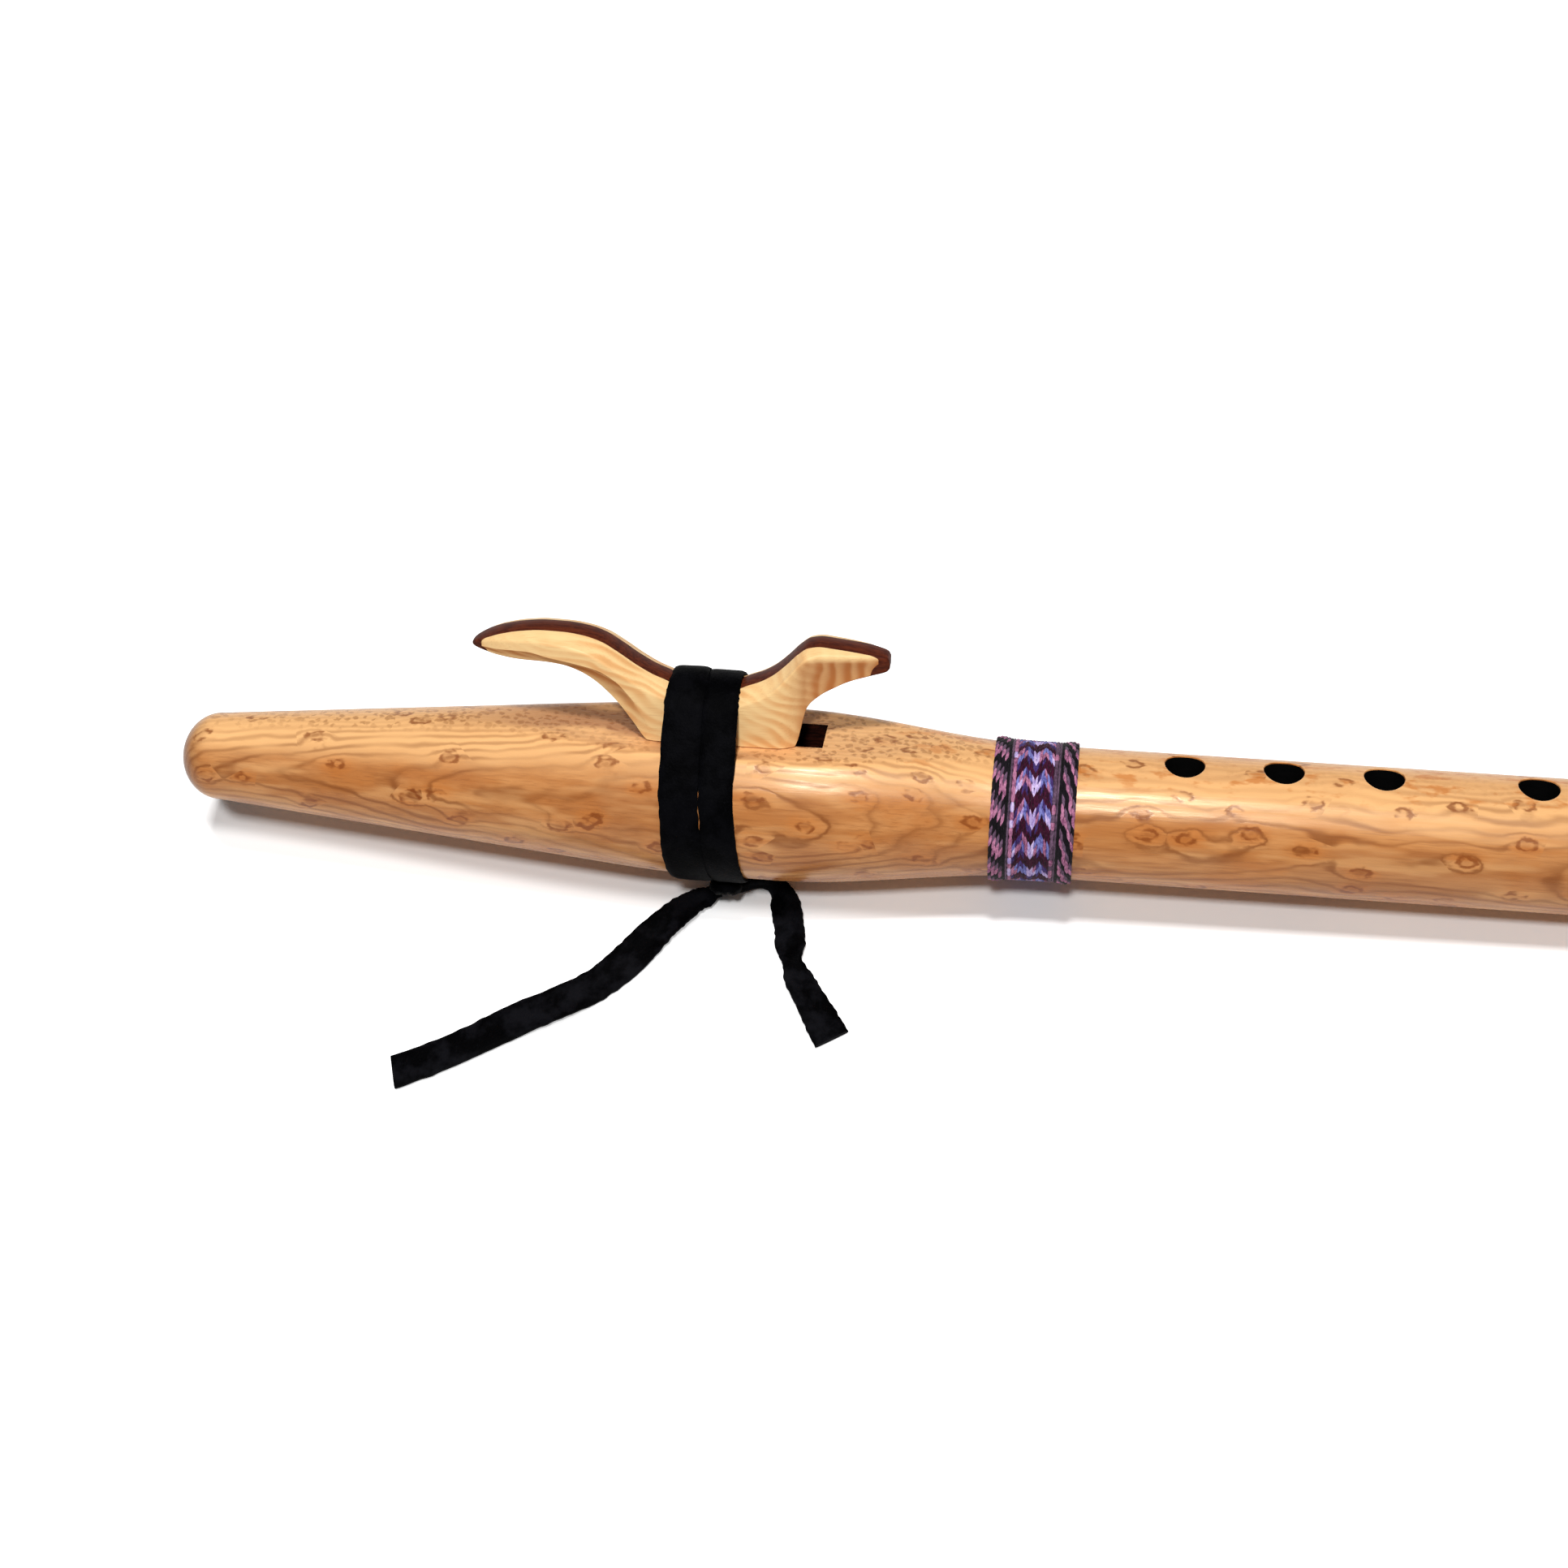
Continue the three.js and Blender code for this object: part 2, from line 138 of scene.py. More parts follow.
def smoothLine(points):
    # a curve through (place, height) points that never swings past them
    places, heights = zip(*points)
    slopes = [(heights[i + 1] - heights[i]) / (places[i + 1] - places[i]) for i in range(len(points) - 1)]
    bends = [slopes[0]]
    for before, after in zip(slopes, slopes[1:]):
        bends.append(0 if before * after <= 0 else 2 * before * after / (before + after))
    bends.append(slopes[-1])

    def heightAt(place):
        place = min(max(place, places[0]), places[-1])
        i = max(k for k in range(len(places) - 1) if places[k] <= place)
        span = places[i + 1] - places[i]
        t = (place - places[i]) / span
        low = (1 + 2 * t) * (1 - t) ** 2 * heights[i] + t * (1 - t) ** 2 * span * bends[i]
        high = t * t * (3 - 2 * t) * heights[i + 1] + t * t * (t - 1) * span * bends[i + 1]
        return low + high
    return heightAt


def smoothPath(points, steps):
    # a curve through points in space, so many steps between each two
    points = [Vector(point) for point in points]
    ends = [2 * points[0] - points[1]] + points + [2 * points[-1] - points[-2]]
    path = []
    for a, b, c, d in zip(ends, ends[1:], ends[2:], ends[3:]):
        for i in range(steps):
            t = i / steps
            path.append(0.5 * (2 * b + (c - a) * t + (2 * a - 5 * b + 4 * c - d) * t ** 2
                               + (3 * b - a - 3 * c + d) * t ** 3))
    return path + [points[-1]]


def step(value, low, high):
    # 0 below low, 1 above high, and eased between them
    share = min(max((value - low) / (high - low), 0), 1)
    return share * share * (3 - 2 * share)


def roughly(seed, *place):
    # a steady wobble between about -1 and 1
    return noise.noise(Vector((seed * 7.31, *place, 0.0)[:3]))


# Finishes

def shade(red, green, blue):
    # a colour as a screen shows it, 0 to 255
    return tuple((c / 255 / 12.92) if c < 10.3 else ((c / 255 + 0.055) / 1.055) ** 2.4
                 for c in (red, green, blue)) + (1,)


class Wire:
    # one output of a node; arithmetic on wires adds Math nodes
    def __init__(self, tree, socket):
        self.tree = tree
        self.socket = socket

    def node(self, kind, settings=None, sockets=None, output=0):
        made = self.tree.nodes.new(kind)
        for name, value in (settings or {}).items():
            setattr(made, name, value)
        for name, value in (sockets or {}).items():
            if isinstance(value, Wire):
                self.tree.links.new(value.socket, made.inputs[name])
            else:
                made.inputs[name].default_value = value
        if isinstance(output, tuple):
            return tuple(Wire(self.tree, made.outputs[i]) for i in output)
        return Wire(self.tree, made.outputs[output])

    def math(self, operation, *others):
        return self.node("ShaderNodeMath", {"operation": operation}, dict(enumerate((self, *others))))

    def __add__(self, other):
        return self.math("ADD", other)

    def __radd__(self, other):
        return self.math("ADD", other)

    def __sub__(self, other):
        return self.math("SUBTRACT", other)

    def __rsub__(self, other):
        return self.math("MULTIPLY_ADD", -1, other)

    def __mul__(self, other):
        return self.math("MULTIPLY", other)

    def __rmul__(self, other):
        return self.math("MULTIPLY", other)

    def __truediv__(self, other):
        return self.math("DIVIDE", other)

    def __rtruediv__(self, other):
        return self.math("POWER", -1) * other

    def split(self):
        return self.node("ShaderNodeSeparateXYZ", None, {0: self}, (0, 1, 2))

    def stretch(self, scales):
        return self.node("ShaderNodeVectorMath", {"operation": "MULTIPLY"}, {0: self, 1: scales})

    def along(self, direction):
        return self.node("ShaderNodeVectorMath", {"operation": "DOT_PRODUCT"}, {0: self, 1: direction}, 1)

    def rise(self, low, high):
        # the same easing as step, on a wire
        return self.node("ShaderNodeMapRange", {"interpolation_type": "SMOOTHSTEP"},
                         {"Value": self, "From Min": low, "From Max": high})

    def cloud(self, scales, detail=2, roughness=0.5, shift=0):
        # soft noise between about 0.25 and 0.75; scales are features per millimetre
        place = self.stretch(scales)
        if shift:
            place = place.node("ShaderNodeVectorMath", {"operation": "ADD"},
                               {0: place, 1: (shift, shift, shift)})
        return place.node("ShaderNodeTexNoise", None,
                          {"Vector": place, "Scale": 1, "Detail": detail, "Roughness": roughness})

    def cells(self, scales):
        # points scattered over a plane: the distance to the nearest, and a number that it has
        distance, colour = self.node("ShaderNodeTexVoronoi", {"voronoi_dimensions": "2D", "feature": "F1"},
                                     {"Vector": self.stretch(scales), "Scale": 1}, (0, 1))
        return distance, colour.node("ShaderNodeSeparateColor", None, {0: colour})

    def tint(self, first, second):
        # from the first colour, where the wire is 0, to the second
        return self.node("ShaderNodeMix", {"data_type": "RGBA"}, {0: self, 6: first, 7: second}, 2)


def newFinish(name, **constants):
    # a bare finish, the place on the flute in millimetres that its patterns follow, and two ways to
    # wire it: a plug into a socket, and a bump
    finish = bpy.data.materials.new(name)
    finish.use_nodes = True
    tree = finish.node_tree
    shader = tree.nodes["Principled BSDF"]
    for socket, value in constants.items():
        shader.inputs[socket.replace("_", " ")].default_value = value
    corner = tree.nodes.new("ShaderNodeTexCoord")
    place = Wire(tree, corner.outputs["Object"])
    place = place.node("ShaderNodeMapping", {"vector_type": "TEXTURE"}, {
        "Vector": place, "Location": mouthPoint, "Rotation": fluteTurn.to_euler(), "Scale": (mm, mm, mm)})

    def plug(socket, wire):
        tree.links.new(wire.socket, shader.inputs[socket])

    def bump(height, distance, strength=1):
        plug("Normal", height.node("ShaderNodeBump", None,
                                   {"Height": height, "Distance": distance * mm, "Strength": strength}))
    return finish, place, plug, bump


maple = {
    "honey": shade(240, 174, 110), "tan": shade(206, 138, 80), "amber": shade(208, 126, 60),
    "heart": shade(168, 98, 46), "dusk": shade(178, 124, 84), "cream": shade(255, 198, 134),
    "line": shade(136, 74, 32), "eye": shade(132, 62, 20), "fleck": shade(144, 84, 38),
    "rim": shade(134, 82, 44),
    "ringsFaceDown": 76,  # degrees from the holes round the front to where the rings lie flat
    "ringGap": 1.7, "lineHalf": 0.55, "wander": 9, "ripple": 2.2,
    "eyeGap": 7.3, "eyeStretch": 0.6, "eyeRadius": 1.2, "eyeSwell": 1.9, "eyeJitter": 2,
    "fleckGap": 1.75, "fleckJitter": 2,
    # places along the flute between which a tint comes in or goes out
    "rimOut": (0.5, 9), "duskIn": (50, 100), "duskOut": (130, 160), "blotchIn": (150, 200),
    "pipeIn": (186, 204),
}


def makeMaple(name):
    finish, place, plug, bump = newFinish(name, Specular_IOR_Level=0.4, Specular_Tint=(1, 0.84, 0.66, 1))
    x, y, z = place.split()
    radius = (y * y + z * z).math("SQRT")
    skin = x.node("ShaderNodeCombineXYZ", None, {0: x, 1: y.math("ARCTAN2", z) * radius})
    turn = math.radians(maple["ringsFaceDown"])
    ringFace = Vector((0, -math.sin(turn), math.cos(turn)))
    normal = place.node("ShaderNodeNewGeometry", output=1)
    # eyes: small ovals in a loose scatter, with the rings bulging round them
    gap = maple["eyeGap"]
    distance, luck = skin.cells((maple["eyeStretch"] / gap, 1 / gap, 1))
    distance = distance * gap + (place.cloud((0.45, 0.7, 0.7), 2) - 0.5) * maple["eyeJitter"]
    here = luck.rise(0.38, 0.44)
    swell = (1 - distance.rise(0.3, 4.2)) * here * (luck - 0.15)
    rim = (distance - maple["eyeRadius"] * (luck * 0.5 + 0.6)).math("ABSOLUTE")
    rim = (1 - rim.rise(0.12, 0.68)) * here * place.cloud((0.3, 0.5, 0.5), 1, shift=17).rise(0.38, 0.58)
    pupil = (1 - distance.rise(0.2, 1.1)) * here * luck.rise(0.5, 0.8)
    glow = (1 - distance.rise(0.8, 3.8)) * here
    # growth lines, kept thin where the rings lie nearly flat in the surface
    wander = place.cloud((0.018, 0.05, 0.05), 1) * maple["wander"]
    wander += place.cloud((0.07, 0.16, 0.16), 2, 0.5, shift=9) * maple["ripple"]
    rings = (place.along(ringFace) + wander + swell * maple["eyeSwell"]) / maple["ringGap"]
    tone = rings.math("FRACT")
    across = ((tone - 0.5) * maple["ringGap"]).math("ABSOLUTE")
    face = normal.along(fluteTurn @ ringFace)
    slope = (1.09 - face * face).math("SQRT")
    line = 1 - (across / slope).rise(maple["lineHalf"] * 0.15, maple["lineHalf"] * 1.6)
    patchy = place.cloud((0.03, 0.1, 0.1), 2, shift=4).rise(0.4, 0.6)
    line = line * (patchy * 0.65 + 0.3) * (1.15 - slope * 0.7)
    trail = tone.rise(0.1, 0.5) * (1 - tone.rise(0.5, 0.56)) * (1.1 - slope * 0.6)
    # tones, from the broad ones to the fine ones
    streak = place.cloud((0.03, 0.26, 0.26), 4, 0.62, shift=30)
    patch = place.cloud((0.05, 0.09, 0.09), 3, 0.6, shift=21)
    fibre = place.cloud((0.12, 2.4, 2.4), 3, 0.62)
    upward = normal.along(upAxis)
    colour = streak.rise(0.34, 0.66).tint(maple["honey"], maple["tan"])
    colour = (patch.rise(0.46, 0.66) * 0.55).tint(colour, maple["amber"])
    dusk = place.cloud((0.04, 0.1, 0.1), 2, shift=33)
    colour = (dusk.rise(0.46, 0.64) * 0.45).tint(colour, maple["dusk"])
    colour = ((face * face).rise(0.2, 0.85) * 0.42).tint(colour, maple["heart"])
    colour = (glow * 0.55).tint(colour, maple["amber"])
    colour = (trail * 0.3).tint(colour, maple["line"])
    colour = (fibre.rise(0.46, 0.68) * 0.3).tint(colour, maple["line"])
    pale = place.cloud((0.03, 0.2, 0.2), 2, 0.6, shift=41)
    colour = (pale.rise(0.5, 0.66) * 0.3).tint(colour, maple["cream"])
    pipe = x.rise(*maple["pipeIn"])
    # cream on faces turned up: partly the paler wood of the top, partly painted light on the top and a painted
    # highlight along the edge of the nest
    colour = (upward.rise(0.46, 0.88) * (0.86 - pipe * 0.08)).tint(colour, maple["cream"])
    top = upward.rise(0.9, 0.99)
    colour = (line * (0.78 - top * 0.4)).tint(colour, maple["line"])
    colour = (rim * 0.76 + pupil * 0.35).tint(colour, maple["eye"])
    # short flecks where the surface lies square to the rings, on top
    jitter = place.cloud((0.7, 0.7, 0.7), 1) * maple["fleckJitter"]
    flat = x.node("ShaderNodeCombineXYZ", None, {0: x + jitter, 1: y - jitter})
    speck, speckLuck = flat.cells((0.95 / maple["fleckGap"], 1.1 / maple["fleckGap"], 1))
    speck = (1 - speck.rise(0.2, 0.5)) * speckLuck.rise(0.2, 0.4) * top * (1 - pipe * 0.8)
    shadowed = place.cloud((0.03, 0.1, 0.1), 2, shift=50).rise(0.32, 0.52)
    blotch = place.cloud((0.14, 0.3, 0.3), 3, 0.6, shift=60).rise(0.52, 0.66)
    # grey-brown patches on top of the nest around the block: partly the wood's own tone, partly painted shade of
    # the block; the flecks are darker in them too
    nest = x.rise(*maple["duskIn"]) * 0.85 - x.rise(*maple["duskOut"]) * 0.72
    colour = (shadowed * top * nest).tint(colour, maple["dusk"])
    blotch = blotch * upward.rise(0.75, 0.95) * x.rise(*maple["blotchIn"]) * 0.75
    colour = blotch.tint(colour, maple["amber"])
    colour = (speck * (shadowed * 0.3 + 0.2)).tint(colour, maple["fleck"])
    colour = ((1 - x.rise(*maple["rimOut"])) * 0.85).tint(colour, maple["rim"])
    plug("Base Color", colour)
    plug("Roughness", fibre * 0.3 + 0.11 + line * 0.06)
    bump(fibre * 0.5 - speck * 0.4 - line * 0.35 - rim * 0.3, 0.06, 0.6)
    return finish


def makeDarkInside(name, dark, brown):
    # dark, mottled wood inside the flute
    finish, place, plug, bump = newFinish(name, Specular_IOR_Level=0.08)
    mottle = place.cloud((0.3, 1.2, 1.2), 3, 0.6)
    plug("Base Color", mottle.rise(0.35, 0.75).tint(dark, brown))
    plug("Roughness", mottle * 0.2 + 0.7)
    bump(mottle, 0.1)
    return finish


ash = {
    "pale": shade(255, 214, 152), "warm": shade(232, 164, 98), "figureAndShade": shade(190, 115, 58),
    "ringsFace": Vector((0.34, 0.4, 0.85)).normalized(), "ringGap": 2.3, "ringWander": 15,
    "stripeGap": 3.3, "stripeWander": 5,
    # the bird's head: where its stripes begin, where the painted shade on its facet begins, and the heights where
    # that shade ends
    "headIn": (146, 158), "facetIn": (147, 154), "facetOut": (38.1, 39.7),
}


def makeAsh(name):
    finish, place, plug, bump = newFinish(name, Specular_IOR_Level=0.3, Specular_Tint=(1, 0.9, 0.76, 1))
    x, y, z = place.split()
    head = x.rise(*ash["headIn"])
    wander = place.cloud((0.035, 0.06, 0.06), 2, shift=3) * ash["ringWander"]
    stripes = (x + place.cloud((0.12, 0.1, 0.1), 2, shift=8) * ash["stripeWander"]) / ash["stripeGap"]
    rings = (place.along(ash["ringsFace"]) + wander) / ash["ringGap"]

    def banded(phase):
        return phase.rise(0.05, 0.6) * (1 - phase.rise(0.7, 1.0))
    band = banded(rings.math("FRACT")) * (1 - head) + banded(stripes.math("FRACT")) * head
    fibre = place.cloud((0.2, 4, 4), 3, 0.6)
    # faces turned down and the head's facet are tinted darker: painted shade, with the ring bands showing through
    # it
    undercut = 1 - place.node("ShaderNodeNewGeometry", output=1).along(upAxis).rise(-0.42, -0.08)
    undercut = undercut.math("MAXIMUM", x.rise(*ash["facetIn"]) * (1 - z.rise(*ash["facetOut"])))
    patchy = place.cloud((0.05, 0.1, 0.1), 2, shift=7).rise(0.4, 0.6)
    colour = (band * (patchy * 0.6 + 0.12) * (1 - head * 0.8)).tint(ash["pale"], ash["warm"])
    colour = (undercut * (band * 0.38 + 0.45 + head * 0.17)).tint(colour, ash["figureAndShade"])
    colour = (fibre.rise(0.5, 0.72) * 0.22).tint(colour, ash["figureAndShade"])
    plug("Base Color", colour)
    plug("Roughness", fibre * 0.15 + 0.36)
    bump(fibre, 0.05, 0.5)
    return finish


redwood = {"red": shade(98, 42, 22), "brown": shade(66, 24, 14), "streak": shade(124, 60, 34)}


def makeRedwood(name):
    finish, place, plug, bump = newFinish(name, Specular_IOR_Level=0.12)
    streak = place.cloud((0.09, 1.3, 1.3), 4, 0.6)
    pore = place.cloud((0.5, 5, 5), 2, 0.6, shift=5)
    colour = streak.rise(0.35, 0.65).tint(redwood["brown"], redwood["red"])
    colour = (pore.rise(0.56, 0.7) * 0.5).tint(colour, redwood["streak"])
    plug("Base Color", colour)
    plug("Roughness", pore * 0.2 + 0.4)
    bump(pore, 0.05, 0.5)
    return finish


leather = {"black": shade(1, 1, 2), "worn": shade(28, 28, 33)}


def makeLeather(name, wear):
    # suede, rubbed grey in patches
    finish, place, plug, bump = newFinish(
        name, Specular_IOR_Level=0.02, Sheen_Weight=0.004, Sheen_Roughness=0.5)
    nap = place.cloud((1.8, 1.8, 1.8), 4, 0.65)
    rub = place.cloud((0.16, 0.16, 0.16), 3, 0.6, shift=12)
    worn = rub.rise(0.4, 0.66) * wear + nap.rise(0.55, 0.8) * 0.25
    plug("Base Color", worn.tint(leather["black"], leather["worn"]))
    plug("Roughness", nap * 0.25 + 0.42)
    bump(nap + rub * 2, 0.18, 0.8)
    return finish


def makeYarn(name, colour, deep):
    finish, place, plug, bump = newFinish(
        name, Specular_IOR_Level=0.15, Sheen_Weight=0.08, Sheen_Roughness=0.4)
    twist = place.cloud((3.5, 1.6, 1.6), 3, 0.6)
    fade = place.cloud((0.9, 0.35, 0.35), 2, 0.5, shift=14)
    plug("Base Color", (twist.rise(0.38, 0.66) * 0.6 + fade.rise(0.4, 0.6) * 0.4).tint(deep, colour))
    plug("Roughness", twist * 0.2 + 0.65)
    bump(twist, 0.12, 0.8)
    return finish


oiledMaple = makeMaple("oiledMaple")
boredWood = makeDarkInside("boredWood", shade(26, 8, 4), shade(66, 26, 14))
holeWallBlack = makeDarkInside("holeWallBlack", shade(1, 1, 1), shade(4, 3, 3))
paleAsh = makeAsh("paleAsh")
darkRed = makeRedwood("darkRed")
blackSuede = makeLeather("blackSuede", 0.16)
wornSuede = makeLeather("wornSuede", 0.45)
yarns = {
    "black": makeYarn("yarnBlack", shade(28, 21, 30), shade(8, 6, 9)),
    "pink": makeYarn("yarnPink", shade(212, 142, 176), shade(128, 72, 106)),
    "lilac": makeYarn("yarnLilac", shade(230, 210, 246), shade(156, 134, 200)),
    "blue": makeYarn("yarnBlue", shade(146, 148, 216), shade(78, 76, 148)),
    "indigo": makeYarn("yarnIndigo", shade(84, 62, 132), shade(46, 26, 74)),
    "maroon": makeYarn("yarnMaroon", shade(78, 18, 52), shade(32, 4, 22)),
    "grey": makeYarn("yarnGrey", shade(126, 96, 122), shade(72, 52, 70)),
}
print("finishes made")


# Camera

view = {"place": (0.0064, -0.2613, 0.4953), "angles": (29.711, 5.925, 6.841), "lens": 53.27, "sensor": 36}

eye = bpy.data.objects.new("viewer", bpy.data.cameras.new("viewer"))
bpy.context.scene.collection.objects.link(eye)
eye.location = view["place"]
eye.rotation_euler = [math.radians(angle) for angle in view["angles"]]
eye.data.lens = view["lens"]
eye.data.sensor_width = view["sensor"]
bpy.context.scene.camera = eye


# Loose ends of the lace, on the table

laceEnd = {
    "width": 8.5, "thickness": 1.3, "edgeThinned": 0.5, "rag": 0.3, "wave": 0.15, "gapToTable": 0.15,
    "steps": 8, "cells": 14,
}

longEnd = [
    (130.9, -16.6, 2.0), (128.6, -17.0, 1.8), (126.1, -18.0, 1.4), (123.4, -19.8, 1.1), (120.6, -22.4, 1.1),
    (117.6, -25.7, 1.1), (114.8, -29.3, 1.1), (111.8, -33.4, 1.1), (108.5, -37.5, 1.1), (104.6, -41.4, 1.1),
    (99.9, -45.0, 1.1), (94.4, -48.3, 1.1), (88.2, -51.5, 1.1), (81.8, -55.2, 1.1), (75.2, -59.4, 1.1),
    (68.0, -63.5, 1.1), (59.6, -67.6, 1.1),
]

shortEnd = [
    (133.4, -16.8, 2.6), (136.2, -14.9, 2.4), (139.0, -13.4, 2.0), (142.1, -13.1, 1.6), (144.8, -14.7, 1.3),
    (146.4, -18.0, 1.1), (147.6, -21.5, 1.1), (148.4, -24.9, 1.1), (148.9, -28.4, 1.1), (149.5, -31.8, 1.1),
    (150.8, -35.1, 1.1), (152.6, -38.2, 1.1), (154.7, -41.4, 1.1), (156.8, -44.7, 1.1), (159.0, -48.2, 1.1),
    (161.3, -51.8, 1.1),
]


def ribbonRings(path, shapeAt, seed):
    # shapeAt gives, at a share of the length, the width, the roll in degrees, the lift, how far an
    # edge curls up, where the sign picks the edge, and how far the cut slants
    rings = []
    last = len(path) - 1
    for k, middle in enumerate(path):
        width, roll, lift, curl, slant = shapeAt(k / last)
        ahead = (path[min(k + 1, last)] - path[max(k - 1, 0)]).normalized()
        flat = ahead.cross(Vector((0, 0, 1))).normalized()
        aside = Matrix.Rotation(math.radians(roll), 3, ahead) @ flat
        up = aside.cross(ahead)
        ring = []
        for order in (1, -1):
            for i in range(laceEnd["cells"] + 1):
                across = order * (2 * i / laceEnd["cells"] - 1)
                rag = laceEnd["rag"] * roughly(seed + (across > 0), k * 0.4) * abs(across) ** 6
                face = order * laceEnd["thickness"] / 2 * (1 - laceEnd["edgeThinned"] * abs(across) ** 8)
                rise = abs(curl) * max(math.copysign(across, across * curl), 0) ** 3
                wave = laceEnd["wave"] * roughly(seed, k * 0.12, across * 1.5)
                point = middle + aside * across * (width / 2 + rag) + up * (face + rise + wave)
                point += ahead * slant * (1 - across) / 2
                ring.append((point.x, point.y, max(point.z + lift, laceEnd["gapToTable"])))
        rings.append(ring)
    return rings


def layRibbon(name, points, shapeAt, seed, node):
    path = smoothPath(points, laceEnd["steps"])
    piece = addPiece(name, loft(ribbonRings(path, shapeAt, seed)), [wornSuede], tableSpace)
    smooth(piece, 50)
    hand(piece, "block", "leather", node)
    route = [tableSpace @ point for point in path]
    length = sum((b - a).length for a, b in zip(route, route[1:]))


def longShape(share):
    # pinched and rolled on edge under the knot, then flat with one soft buckle
    pinch = 1 - step(share, 0.02, 0.24)
    buckle = step(share, 0.58, 0.66) * (1 - step(share, 0.68, 0.8))
    width = laceEnd["width"] - 5 * pinch + 0.25 * math.sin(share * 19)
    roll = -62 * (1 - step(share, 0, 0.17)) + 4 * math.sin(share * 9)
    lift = 2.2 * (1 - step(share, 0, 0.1)) + 0.3 * buckle
    curl = -1.5 * step(share, 0.02, 0.1) * (1 - step(share, 0.25, 0.5)) - 0.9 * buckle
    return width, roll, lift, curl, 1.1 * step(share, 0.92, 1)


def shortShape(share):
    # runs on edge under the barrel, comes out with its left edge up, and folds over at a crease
    pinch = 1 - step(share, 0.14, 0.34)
    crease = step(share, 0.54, 0.62) * (1 - step(share, 0.62, 0.72))
    width = 7.2 - 4 * pinch - 2.4 * crease + 1.4 * step(share, 0.72, 1)
    turned = step(share, 0.58, 0.66) * (1 - step(share, 0.8, 1))
    roll = 66 * pinch + 14 * (1 - step(share, 0.56, 0.64)) - 13 * turned
    lift = 1.5 * (1 - step(share, 0, 0.1)) + 0.6 * pinch + 0.7 * crease
    curl = 0.8 * step(share, 0.3, 0.38) * (1 - step(share, 0.5, 0.62)) + 0.01
    return width, roll, lift, curl, 0


layRibbon("laceEndLong", longEnd, longShape, 3, "lace_tail_long")
layRibbon("laceEndShort", shortEnd, shortShape, 8, "lace_tail_short")
print("lace ends laid")


# Barrel

barrel = {
    "length": 440, "domeLength": 9, "mouthRadius": 9.7, "taperLength": 120.8, "taperBlend": 12,
    "nestRadius": 20.45, "nestEnd": 146, "pipeStart": 206, "pipeRadius": 15.3, "footChamfer": 0.8,
    "nestHeight": 16.4, "nestEdge": 0.9, "footEase": 0.25, "glueLine": 0.02, "sides": 192, "gridStep": 1.3,
    "domeRings": 16, "skinDepth": 0.35, "flatDepth": 0.15, "mouthDepth": 1.5, "footDepth": 0.3,
    "sharpFrom": 32,
}
bore = {"blowRadius": 4, "blowLength": 20, "chamberStart": 62, "chamberRadius": 10, "sides": 72}
voice = {
    "exitStart": 119, "exitLength": 7, "windowStart": 149.6, "windowLength": 6.5, "width": 10.4,
    "flueDepth": 0.8, "overlap": 0.3,
}
fingerHoles = {
    "first": 238.2, "spacing": 22.1, "handGap": 33.7, "radius": 4.45, "perHand": 3, "sides": 40,
    # the cutter starts inside the bore; its rings: how far outside the radius, how far above the pipe
    "floor": 2, "rings": [(0, None), (0, -0.7), (0.04, -0.35), (0.16, -0.1), (0.45, 0.08), (0.8, 0.8)],
}


def radiusAt(x):
    # the barrel's radius: a dome, a cone, the round of the nest, and the pipe
    slope = (barrel["nestRadius"] - barrel["mouthRadius"]) / barrel["taperLength"]
    blendStart = barrel["taperLength"] - barrel["taperBlend"]
    blendEnd = barrel["taperLength"] + barrel["taperBlend"]
    if x < barrel["domeLength"]:
        share = 1 - max(x, 0) / barrel["domeLength"]
        return (barrel["mouthRadius"] + slope * barrel["domeLength"]) * math.sqrt(1 - share * share)
    if x < blendStart:
        return barrel["mouthRadius"] + slope * x
    if x < blendEnd:
        t = (x - blendStart) / (blendEnd - blendStart)
        coneRadius = barrel["mouthRadius"] + slope * blendStart
        return coneRadius * (1 - t) ** 2 + barrel["nestRadius"] * (2 - t) * t
    return barrel["nestRadius"] + (barrel["pipeRadius"] - barrel["nestRadius"]) * step(
        x, barrel["nestEnd"], barrel["pipeStart"])


def softLow(a, b, blend):
    # the lower of two, rounded where they meet
    near = max(blend - abs(a - b), 0) / blend
    return min(a, b) - near * near * blend / 4


def barrelSkin():
    # rings close together over the dome and evenly along the body
    slices = [math.pi / 2 * (i + 0.3) / barrel["domeRings"] for i in range(barrel["domeRings"])]
    dome = [barrel["domeLength"] * (1 - math.cos(angle)) for angle in slices]
    count = round((barrel["length"] - barrel["domeLength"]) / barrel["gridStep"])
    bodyEnd = barrel["length"] - barrel["footChamfer"]
    body = [barrel["domeLength"] + (bodyEnd - barrel["domeLength"]) * i / count for i in range(count + 1)]
    rings = []
    for x in dome + body + [barrel["length"] - barrel["footEase"], barrel["length"]]:
        radius = radiusAt(x) - max(x - bodyEnd, 0) ** 2 / barrel["footChamfer"]
        ring = []
        for i in range(barrel["sides"]):
            angle = 2 * math.pi * i / barrel["sides"]
            height = softLow(radius * math.cos(angle), barrel["nestHeight"], barrel["nestEdge"])
            ring.append((x, radius * math.sin(angle), height))
        rings.append(ring)
    return loft(rings)


def boreSkin():
    # flared at the mouth, a cone into the slow air chamber, and chamfered at the foot
    mouth, chamber, end = bore["blowRadius"], bore["chamberRadius"], barrel["length"]
    profile = [(-spare, mouth + 1.6), (0.2, mouth + 0.8), (0.9, mouth + 0.25), (2, mouth),
               (bore["blowLength"], mouth), (bore["chamberStart"], chamber),
               (end - 1, chamber), (end + 0.1, chamber + 0.7), (end + spare, chamber + 0.9)]
    turns = [2 * math.pi * i / bore["sides"] for i in range(bore["sides"])]
    return loft([[(x, r * math.sin(turn), r * math.cos(turn)) for turn in turns] for x, r in profile])


